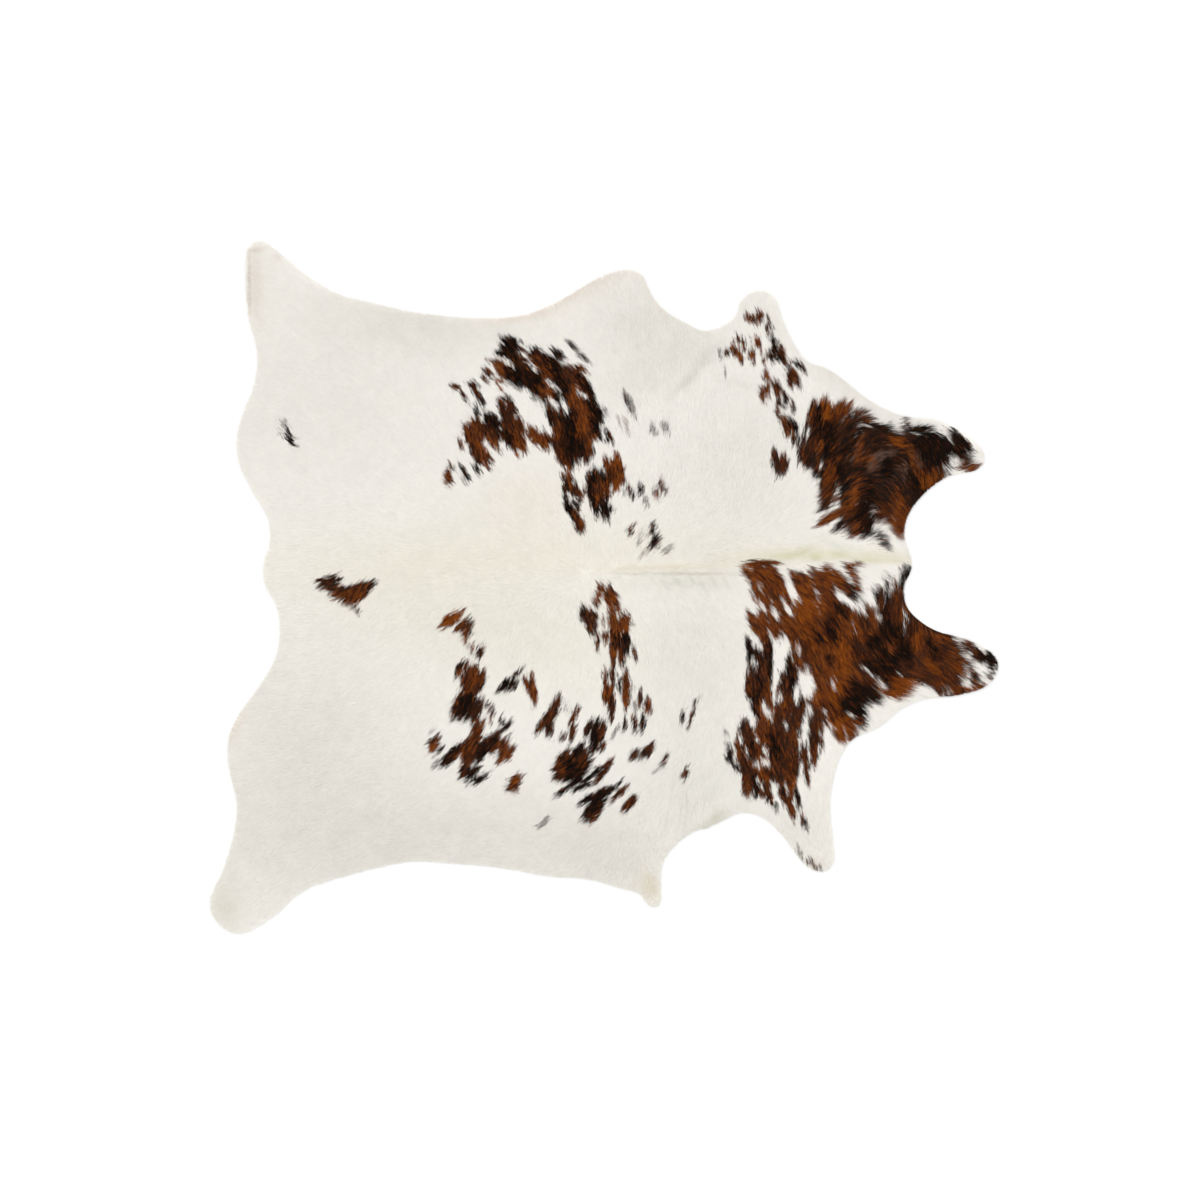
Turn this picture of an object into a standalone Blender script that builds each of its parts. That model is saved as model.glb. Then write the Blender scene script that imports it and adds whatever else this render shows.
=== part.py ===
"""A hair-on cowhide rug, lying flat: one whole tanned hide, trimmed along its natural outline.

+X runs along the spine from the rump to the neck, +Y to one flank and +Z up, off the flesh side.
The origin is at the middle of the rug, on the surface that it lies on. Units are metres.
"""

import math
from collections import namedtuple

import bmesh
import bpy
import numpy as np
from mathutils import Vector
from mathutils.geometry import delaunay_2d_cdt, interpolate_bezier

# Driving dimensions
LENGTH = 2.20  # from the rump's farthest point to the lower cheek's
CUT_EDGE = 0.0024  # height of the knife-cut rim
RIM_ROUND = 0.024  # how far in from the rim the coat reaches its full height
RIM_SHOULDER = 0.009  # how far in the rim's own shoulder lies
FLANK_REACH = 0.30  # the skin thins towards the belly edge over this distance
FLANK_THINNING = 0.35  # share of the thickness lost at the belly edge

# Mesh sizes
EDGE_STEP = 0.021  # spacing of points along the outline
TOP_GRID = 0.043  # spacing of points over the hair side
BASE_GRID = 0.17  # spacing of points over the flat flesh side
CURVE_STEPS = 12  # samples on each stretch of the outline's curve

# The outline, clockwise as seen from above, one table for each part of the hide. Each row is a
# place that the knife passes, (along the spine, across it), joined by one smooth closed curve.
OUTLINE = {
    "upper hind leg": [
        (-0.986, 0.955),
        (-0.955, 0.965),
        (-0.895, 0.925),
        (-0.830, 0.870),
        (-0.745, 0.820),
    ],
    "upper belly": [
        (-0.635, 0.790),
        (-0.520, 0.765),
        (-0.245, 0.755),
        (-0.165, 0.780),
    ],
    "upper brisket point": [
        (0.065, 0.885),
        (0.110, 0.865),
        (0.130, 0.815),
    ],
    "upper foreleg bay": [
        (0.170, 0.770),
        (0.230, 0.735),
        (0.280, 0.715),
    ],
    "upper foreleg": [
        (0.363, 0.753),
        (0.381, 0.800),
        (0.436, 0.828),
        (0.475, 0.805),
        (0.500, 0.738),
    ],
    "upper neck side": [
        (0.565, 0.630),
        (0.620, 0.610),
        (0.748, 0.515),
    ],
    "upper cheek": [
        (0.835, 0.476),
        (0.940, 0.462),
        (1.050, 0.387),
        (1.058, 0.350),
        (1.025, 0.322),
        (0.966, 0.314),
    ],
    "neck notch": [
        (0.857, 0.222),
        (0.832, 0.144),
        (0.857, 0.057),
        (0.835, 0.010),
        (0.840, -0.046),
    ],
    "lower cheek": [
        (0.893, -0.102),
        (1.086, -0.189),
        (1.097, -0.225),
        (1.072, -0.269),
        (1.000, -0.297),
        (0.877, -0.314),
    ],
    "lower neck side": [
        (0.821, -0.342),
        (0.771, -0.384),
        (0.680, -0.434),
    ],
    "lower foreleg": [
        (0.628, -0.593),
        (0.634, -0.680),
        (0.628, -0.783),
        (0.586, -0.789),
        (0.491, -0.685),
    ],
    "lower foreleg bay": [
        (0.441, -0.641),
        (0.380, -0.627),
        (0.300, -0.664),
        (0.246, -0.680),
    ],
    "lower brisket point": [
        (0.165, -0.761),
        (0.156, -0.822),
        (0.154, -0.883),
        (0.131, -0.892),
        (0.100, -0.856),
    ],
    "lower belly": [
        (0.036, -0.836),
        (-0.042, -0.814),
        (-0.156, -0.805),
        (-0.299, -0.780),
        (-0.433, -0.769),
        (-0.533, -0.764),
        (-0.723, -0.805),
    ],
    "lower hind leg": [
        (-0.840, -0.847),
        (-0.918, -0.914),
        (-1.030, -0.965),
        (-1.098, -0.906),
        (-1.094, -0.853),
        (-1.066, -0.794),
    ],
    "lower buttock": [
        (-1.025, -0.616),
        (-1.050, -0.490),
        (-1.048, -0.420),
        (-1.020, -0.355),
        (-0.955, -0.264),
    ],
    "tail notch": [
        (-0.913, -0.180),
        (-0.913, -0.052),
        (-0.944, 0.007),
        (-0.949, 0.060),
        (-0.933, 0.124),
        (-0.939, 0.190),
    ],
    "upper buttock": [
        (-0.983, 0.269),
        (-1.018, 0.342),
        (-1.027, 0.406),
        (-1.010, 0.481),
        (-0.977, 0.568),
        (-0.969, 0.649),
        (-0.991, 0.752),
        (-1.000, 0.858),
    ],
}

# Thickness of the skin and of the coat that lies on it, by place along the spine.
Section = namedtuple("Section", "name along skin coat")
SECTIONS = [
    Section("rump", -1.05, 0.0026, 0.0030),
    Section("loin", -0.50, 0.0024, 0.0027),
    Section("shoulder", 0.25, 0.0026, 0.0030),
    Section("neck", 0.80, 0.0032, 0.0042),
    Section("cheeks", 1.10, 0.0026, 0.0040),
]

# Low swells and hollows of the hair side. heading is in degrees from the spine's direction.
Swell = namedtuple("Swell", "name along across heading length width height")
SWELLS = [
    Swell("neck crest", 0.62, 0.090, 0, 0.300, 0.022, 0.0024),
    Swell("withers crest", 0.22, 0.050, 0, 0.220, 0.020, 0.0014),
    Swell("furrow beside the crest", 0.42, 0.020, -2, 0.330, 0.022, -0.0010),
    Swell("upper shoulder crease", 0.23, 0.550, -32, 0.150, 0.030, 0.0012),
    Swell("lower elbow whorl", 0.27, -0.640, 20, 0.080, 0.050, 0.0010),
    Swell("upper cheek whorl", 0.82, 0.385, 0, 0.080, 0.055, 0.0012),
    Swell("upper flank hollow", -0.40, 0.420, 8, 0.300, 0.120, -0.0007),
    Swell("lower flank hollow", -0.45, -0.400, -6, 0.320, 0.120, -0.0007),
]

HAIR_WHITE = (0.80, 0.77, 0.70, 1.0)


def smooth_closed_curve(corners):
    """Points on a smooth closed curve through the corners. At each it heads midway between the two sides."""
    corners = [Vector(c).to_3d() for c in corners]
    count = len(corners)
    sides = [(corners[(i + 1) % count] - corners[i]) for i in range(count)]
    headings = [(sides[i - 1].normalized() + sides[i].normalized()).normalized() for i in range(count)]
    found = []
    for i in range(count):
        start, end = corners[i], corners[(i + 1) % count]
        handle = sides[i].length / 3
        leave = start + headings[i] * handle
        arrive = end - headings[(i + 1) % count] * handle
        found += interpolate_bezier(start, leave, arrive, end, CURVE_STEPS + 1)[:-1]
    return np.array(found)[:, :2]


def evenly_spaced(loop, step):
    """The closed loop's points, set again about step apart along it."""
    closed = np.vstack([loop, loop[:1]])
    along = np.concatenate([[0], np.cumsum(np.linalg.norm(np.diff(closed, axis=0), axis=1))])
    at = np.linspace(0, along[-1], round(along[-1] / step), endpoint=False)
    return np.column_stack([np.interp(at, along, closed[:, k]) for k in range(2)])


def knife_line():
    """The outline at real size, centred on its own bounding box, counter-clockwise from above."""
    corners = np.array([row for stretch in OUTLINE.values() for row in stretch])
    loop = evenly_spaced(smooth_closed_curve(corners)[::-1], EDGE_STEP)
    loop *= LENGTH / np.ptp(loop[:, 0])
    return loop - (loop.min(axis=0) + loop.max(axis=0)) / 2


def distance_to_edge(points, loop):
    """How far each point is from the loop's sides, and whether it is inside the loop."""
    start, side = loop, np.roll(loop, -1, axis=0) - loop
    off = points[:, None] - start[None]
    share = np.clip((off * side).sum(axis=2) / (side**2).sum(axis=1), 0, 1)
    gap = np.linalg.norm(off - share[:, :, None] * side, axis=2).min(axis=1)
    upward = (start[:, 1] <= points[:, None, 1]) & (start[:, 1] + side[:, 1] > points[:, None, 1])
    downward = (start[:, 1] > points[:, None, 1]) & (start[:, 1] + side[:, 1] <= points[:, None, 1])
    left_of = side[:, 0] * off[:, :, 1] - side[:, 1] * off[:, :, 0] > 0
    inside = (upward & left_of).sum(axis=1) - (downward & ~left_of).sum(axis=1) != 0
    return gap, inside


def spread_inside(loop, step, margin):
    """Points of a staggered grid that lie inside the loop, at least margin from it."""
    low, high = loop.min(axis=0), loop.max(axis=0)
    rows = np.arange(low[1], high[1], step * math.sqrt(3) / 2)
    found = [
        (x + step / 2 * (i % 2), y) for i, y in enumerate(rows) for x in np.arange(low[0], high[0], step)
    ]
    gap, inside = distance_to_edge(np.array(found), loop)
    return np.array(found)[inside & (gap > margin)]


def shoulder_ring(loop):
    """A ring of points just in from the loop, where the rim rounds over into the coat."""
    along = np.roll(loop, -1, axis=0) - np.roll(loop, 1, axis=0)
    inward = np.column_stack([-along[:, 1], along[:, 0]]) / np.linalg.norm(along, axis=1)[:, None]
    ring = loop + inward * RIM_SHOULDER
    gap, inside = distance_to_edge(ring, loop)
    return ring[inside & (gap > 0.9 * RIM_SHOULDER)]


def thickness(points, loop):
    """Height of the hair side above the flesh side at each point inside the loop."""
    gap, _ = distance_to_edge(points, loop)
    x = points[:, 0]
    along = [s.along for s in SECTIONS]
    skin = np.interp(x, along, [s.skin for s in SECTIONS])
    coat = np.interp(x, along, [s.coat for s in SECTIONS])
    to_belly = np.clip(1 - gap / FLANK_REACH, 0, 1)
    full = (skin + coat) * (1 - FLANK_THINNING * to_belly**2)
    for s in SWELLS:
        turn = math.radians(s.heading)
        off = points - (s.along, s.across)
        lengthwise = off @ (math.cos(turn), math.sin(turn))
        crosswise = off @ (-math.sin(turn), math.cos(turn))
        full += s.height * np.exp(-((lengthwise / s.length) ** 2) - (crosswise / s.width) ** 2)
    rise = np.sin(np.clip(gap / RIM_ROUND, 0, 1) * math.pi / 2)
    return CUT_EDGE + (full - CUT_EDGE) * rise


def triangulated(loop, inner):
    """The loop's inside cut into triangles whose corners are the loop's points and the inner ones."""
    points = [Vector(p) for p in np.vstack([loop, inner])]
    sides = [(i, (i + 1) % len(loop)) for i in range(len(loop))]
    inside_the_edges = 1
    found = delaunay_2d_cdt(points, sides, [], inside_the_edges, 1e-6)
    return np.array([tuple(p) for p in found[0]]), found[2]


def hide():
    """The hide: a flat flesh side, the knife-cut rim round it and the gently uneven hair side."""
    loop = knife_line()
    inner = spread_inside(loop, TOP_GRID, RIM_ROUND)
    top, top_faces = triangulated(loop, np.vstack([shoulder_ring(loop), inner]))
    base, base_faces = triangulated(loop, spread_inside(loop, BASE_GRID, BASE_GRID / 2))
    bm = bmesh.new()
    upper = [bm.verts.new((x, y, z)) for (x, y), z in zip(top, thickness(top, loop))]
    lower = [bm.verts.new((x, y, 0)) for x, y in base]
    for face in top_faces:
        bm.faces.new([upper[i] for i in face])
    for face in base_faces:
        bm.faces.new([lower[i] for i in reversed(face)])
    for i in range(len(loop)):
        after = (i + 1) % len(loop)
        bm.faces.new([lower[i], lower[after], upper[after], upper[i]])
    bm.normal_update()
    mesh = bpy.data.meshes.new("hide")
    bm.to_mesh(mesh)
    bm.free()
    mesh.shade_smooth()
    mesh.set_sharp_from_angle(angle=math.radians(35))
    mesh.materials.append(hair())
    piece = bpy.data.objects.new("hide", mesh)
    bpy.context.scene.collection.objects.link(piece)
    return piece


def hair():
    """The short, slightly glossy hair that covers the upper side."""
    material = bpy.data.materials.new("hair")
    material.use_nodes = True
    shader = material.node_tree.nodes["Principled BSDF"]
    shader.inputs["Base Color"].default_value = HAIR_WHITE
    shader.inputs["Roughness"].default_value = 0.6
    shader.inputs["Metallic"].default_value = 0.0
    return material


for leftover in list(bpy.data.objects):
    bpy.data.objects.remove(leftover)
hide()
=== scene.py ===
"""The looks of a hair-on cowhide rug that lies flat on a pale floor, seen square from above.

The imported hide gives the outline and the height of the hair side. On it lie a thin tanned skin and its coat
of short hair, in five joined meshes along the back. +X runs along the spine to the neck, +Y to the upper
flank and +Z up. Lengths are in metres, and the tables say where they use another unit.
"""

import math
from collections import namedtuple

import bpy
import numpy as np
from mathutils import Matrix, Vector
from mathutils.bvhtree import BVHTree
from mathutils.geometry import delaunay_2d_cdt


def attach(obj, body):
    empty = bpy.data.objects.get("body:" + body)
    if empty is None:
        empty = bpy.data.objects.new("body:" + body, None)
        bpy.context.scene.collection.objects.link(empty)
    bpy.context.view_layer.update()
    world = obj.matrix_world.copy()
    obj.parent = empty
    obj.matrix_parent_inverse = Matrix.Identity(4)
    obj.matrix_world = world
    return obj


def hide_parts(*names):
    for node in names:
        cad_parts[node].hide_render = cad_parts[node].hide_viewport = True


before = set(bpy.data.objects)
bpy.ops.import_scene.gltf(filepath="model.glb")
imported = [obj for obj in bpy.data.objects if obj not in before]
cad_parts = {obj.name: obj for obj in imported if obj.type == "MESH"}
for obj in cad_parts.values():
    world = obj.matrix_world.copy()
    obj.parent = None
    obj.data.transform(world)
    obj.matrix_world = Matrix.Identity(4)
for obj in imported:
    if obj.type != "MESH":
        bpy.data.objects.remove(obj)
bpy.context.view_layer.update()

HIDE = "hide"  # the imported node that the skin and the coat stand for
SEED = 11

# The photograph's frame. The tables below give places in its pixels, across and down.
PIXEL = 2.20 / 788  # metres of hide under one pixel: 2.20 m of hide is 788 pixels long
MIDDLE = (604.0, 587.5)  # the pixel over the middle of the rug
PICTURE = 1200  # pixels along each side of the picture

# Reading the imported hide
WELD = 6  # decimals of a metre that tell its corners apart
UNDERSIDE = 1e-5  # its flat underside's corners lie lower than this
CURVE_PARTS = 6  # parts that each side of its outline is bent into
BATCH = 4000  # places whose depth inside the outline is worked out at a time
SURVEY = 0.010  # spacing of the places where its height is read
SURVEY_MARGIN = 6  # how many more of them there are beyond each side
SOUNDING = 1.0  # height from which they are read
HARDLY = 1e-5  # a distance, or a share of a cell, that hardly counts
ONLY_INSIDE, SAME_PLACE = 1, 1e-6  # what a triangulation keeps, and how near two points are one

# The skin
HIDE_RIM = 0.0024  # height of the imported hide's cut edge
SKIN_RIM = 0.0018  # height of the skin's own
SKIN_LEAST = 0.8  # share of it that the deepest trough leaves
SKIN_SHARE = 0.35  # share of the hide's height above its rim that is skin, the rest being coat
SKIN_INSET = 0.0015  # how far its edge lies inside the hide's outline
CUT_ROUNDING = 0.0005  # how far the upper edge of the cut is drawn in
OUTLINE_STEP = 0.006  # spacing of the points round its edge
Grid = namedtuple("Grid", "step room")  # spacing of points, and how many spacings they stay off the edge
SKIN_GRID = Grid(0.0125, 0.6)
SUEDE_GRID = Grid(0.085, 0.5)
RELIEF_FADE = 0.03  # how far inside the outline creases and swells have their full height
CREASE_ENDS = (0.2, 4)  # share of its height that a crease has at its ends, and how fast it gains the rest
SWELL = 0.00035  # height of the skin's own soft swells
UNDER_HAIR = 0.8  # how bright the skin is under coloured hair, as a share of the hair

# The coat
STRANDS = 936000  # a triangle each
SPARE = 1.04  # roots tried for each strand, because some fall outside
TUFT_AREA = 4.2e-5  # hide for each tuft, in square metres
TUFT_REACH = (0.0090, 0.0024)  # how far along and across a tuft its roots lie
TUFT_STRAY = 0.36  # most that a tuft's middle strays from its grid, in shares of the grid's step
TUFT_DEPTH = 0.0005  # least depth inside the outline of a tuft's middle
GOLDEN_TURN = 2.4  # radians from each root round its tuft to the next
STRAND_WIDTH = (0.0012, 0.0020)  # at its root
SHORTER = 0.30  # share of its length that the hair loses for each metre from the spine
SHORTEST = 0.003
GATHER = 0.35  # share of its distance from the tuft's line that a strand's tip gives up
LIFT = (0.0022, 0.0027)  # height of a strand's tip over the skin
EDGE_LIFT = 0.45  # share of that height at the outline
EDGE_FADE = 0.02  # how far inside the outline the hair stands at its full height
ROOT_RISE = 0.0008  # most that a strand's root stands over the skin
ROLL = 0.07  # most that a strand is turned about its own length, in radians
OVERHANG = 0.0025  # how far tips may reach past the outline
DROOP = 0.35  # how far a tip past the outline hangs down, for each metre that it reaches
DROOP_REACH = 0.01  # the reach after which it hangs no lower
LOWEST_TIP = 0.0008

# How the hair varies, as standard deviations. The pairs are from tuft to tuft, and from strand to strand.
SWIRL = (0.14, 0.10)  # the combing, in radians, by soft noise and from tuft to tuft
STRAND_TURN = 0.10  # the strands' heading, in radians
ROOT_TURN = 0.3  # the roots' place round their tuft, in radians
LENGTH_SPREAD = (0.16, 0.18)  # in shares of the length
LENGTH_LIMITS = (0.45, 1.6)
LIFT_SPREAD = 0.08  # from tuft to tuft, in shares of the lift
LIFT_LIMITS = (0.5, 1.5)

# Where on the markings a strand is looked up. FRAY, MOST_FRAY, SECOND_LOOK and BLUR are in pixels of the
# photograph.
SHOWN = (0.62, 0.60)  # shares of its length and of its gathering at the place where it shows
TUFT_AHEAD = 0.009  # how far ahead of its middle a tuft shows
TOGETHER = 0.25  # share that its tuft has in that place
SLIP = 0.002  # how far ahead of it the markings are looked up
FRINGE = (0.0050, 0.0014)  # how unevenly tufts, and the strands in them, start and end a marking
TUFT_DRIFT = 0.0018  # how far a marking's sides wander from tuft to tuft
FRAY = (1.2, 0.3)  # how far its edge moves, by soft noise and from strand to strand
MOST_FRAY = 3  # how far round a stroke strands are tested
SECOND_LOOK = 0.7  # how far off each strand is looked up again, so that edges are part covered
BLUR = (2.3, 0.5)  # how far off a coloured tuft, and a strand in it, may take its tone
TAPER = (0.5, 3)  # share of its width that a stroke loses at its ends, and the power by which it does

# How the colours vary
SHADE_SPREAD = (0.22, 0.12)  # on the ramp, from tuft to tuft and from strand to strand
ODD_DARK = (0.05, 0.95)  # share of odd dark strands, and their place on the ramp
ODD_RUST = (0.03, 0.25)
COVER_SPREAD = 0.22  # how unevenly the strands of a mixed tone cover the white
ROOT_AND_TIP = (0.15, 0.25)  # how far a root's and a tip's own place on the markings counts
BRIGHT_SPREAD = (0.006, 0.008)
BRIGHT_PATCHES = (0.010, 0.007)  # by soft noise, broad and fine
DARK_CONTRAST = 14  # how many times more the coloured hair's brightness varies
PAINTED_SHEEN_AMOUNTS = (0.5, 0.6, 0.35)  # the painted sheen's middle amount, and how it varies by soft noise and from strand to strand
ROOT_SHADE_TIP_HIGHLIGHT = (0.66, 0.66, 1.34)  # brightness of coloured hair left and right of its root, darker as painted shade, and at its tip, lighter as a painted highlight
WHITE_CONTRAST = 0.08  # how much of that painted shade and highlight white hair has
TINT_PATCHES = 0.16  # how unevenly the tints lie
COMB_BLEND = (8, 1.6)  # pixels over which a combed place holds, and the power by which others take over

# Soft noise: how far apart its lumps are, and its seed
Noise = namedtuple("Noise", "size seed")
SWELL_LUMPS = Noise(0.055, SEED + 1)
SWIRL_LUMPS = Noise(0.030, SEED + 2)
FRAY_LUMPS = Noise(0.0055, SEED + 3)
BROAD_PATCHES = Noise(0.030, SEED + 4)
FINE_PATCHES = Noise(0.011, SEED + 5)
PAINTED_SHEEN_LUMPS = Noise(0.020, SEED + 6)
TINT_LUMPS = Noise(0.028, SEED + 7)
NOISE_CELLS = 255  # after which it repeats
NOISE_START = 1000  # cells before the rug's middle

# Length of the hair by place along the spine
Coat = namedtuple("Coat", "name along length")
COAT = [
    Coat("rump", -1.05, 0.014),
    Coat("loin", -0.50, 0.016),
    Coat("barrel", 0.10, 0.018),
    Coat("shoulder", 0.50, 0.020),
    Coat("neck", 0.80, 0.031),
    Coat("cheeks", 1.00, 0.027),
    Coat("cheek tips", 1.10, 0.016),
]
COAT_PIECES = ["coat_rump", "coat_loin", "coat_barrel", "coat_shoulder", "coat_neck"]

# Colours as the eye sees them, 0 to 255
WHITE_HAIR = (251, 248, 242)
SKIN_TAN = (226, 204, 176)
PAINTED_SHEEN_COLOUR = (132, 108, 96)  # painted sheen: the grey-brown that the dark hair's painted soft highlights lean to
# The coloured hair's ramp, from rust to black
Shade = namedtuple("Shade", "at colour")
HAIR_RAMP = [
    Shade(0.00, (136, 71, 18)),
    Shade(0.30, (93, 42, 8)),
    Shade(0.62, (46, 23, 9)),
    Shade(1.00, (11, 7, 5)),
]
# Tones of the markings: where on the ramp, how far they cover the white, and how far their hair leans to the
# painted sheen, a highlight painted into its colour
Tone = namedtuple("Tone", "letter shade share gloss")
TONES = [
    Tone("w", 0.0, 0.0, 0.0),  # white
    Tone("p", 0.50, 0.40, 0.5),  # pale, a few brown strands among white
    Tone("g", 0.85, 0.66, 0.3),  # grey, black and white strands
    Tone("o", 0.10, 1.0, 0.0),  # orange
    Tone("r", 0.30, 1.0, 0.05),  # rust
    Tone("s", 0.70, 1.0, 0.55),  # brown with a painted grey sheen
    Tone("b", 0.57, 1.0, 0.05),  # dark brown
    Tone("d", 0.84, 1.0, 0.05),  # darkest brown
    Tone("k", 1.00, 1.0, 0.0),  # black
]

# The materials: how fine and how strong their mottling is, how finely and between what their roughness
# varies, and how much they shine
Surface = namedtuple("Surface", "name mottle_scale mottle rough_scale rough shine")
HAIR = Surface("coat_hair", 90.0, 0.05, 260.0, (0.42, 0.62), 0.04)
SKIN = Surface("tanned_skin", 35.0, 0.12, 120.0, (0.78, 0.95), 0.2)
MOTTLE_NOISE = dict(Detail=4.0, Roughness=0.6)
ROUGH_NOISE = dict(Detail=3.0)
NAP = dict(Scale=900.0, Detail=6.0, Roughness=0.7)  # the suede's noise
NAP_BUMP = dict(Strength=0.35, Distance=0.0006)
SUEDE_SHEEN = 0.25
COLOUR_MIX = (6, 7, 2)  # a mix node's colour sockets, two in and one out, because their names repeat
PLAN_EDGE = 0.01  # bare share of a texture map along each side

# The stage
FLOOR_HALF = 60
FLOOR_DROP = 0.0002  # how far the floor lies under the skin
FLOOR_WHITE, FLOOR_ROUGH, FLOOR_SHINE = 0.95, 0.9, 0.1
SKY = 0.84  # strength of the white light from all round
LAMP_PLACE = (-1.6, 3.2, 4.4)
LAMP_SPREAD = math.radians(90)
LAMP_STRENGTH = 1.0
CAMERA_HEIGHT = 12.0
SENSOR = 36.0  # millimetres

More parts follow.
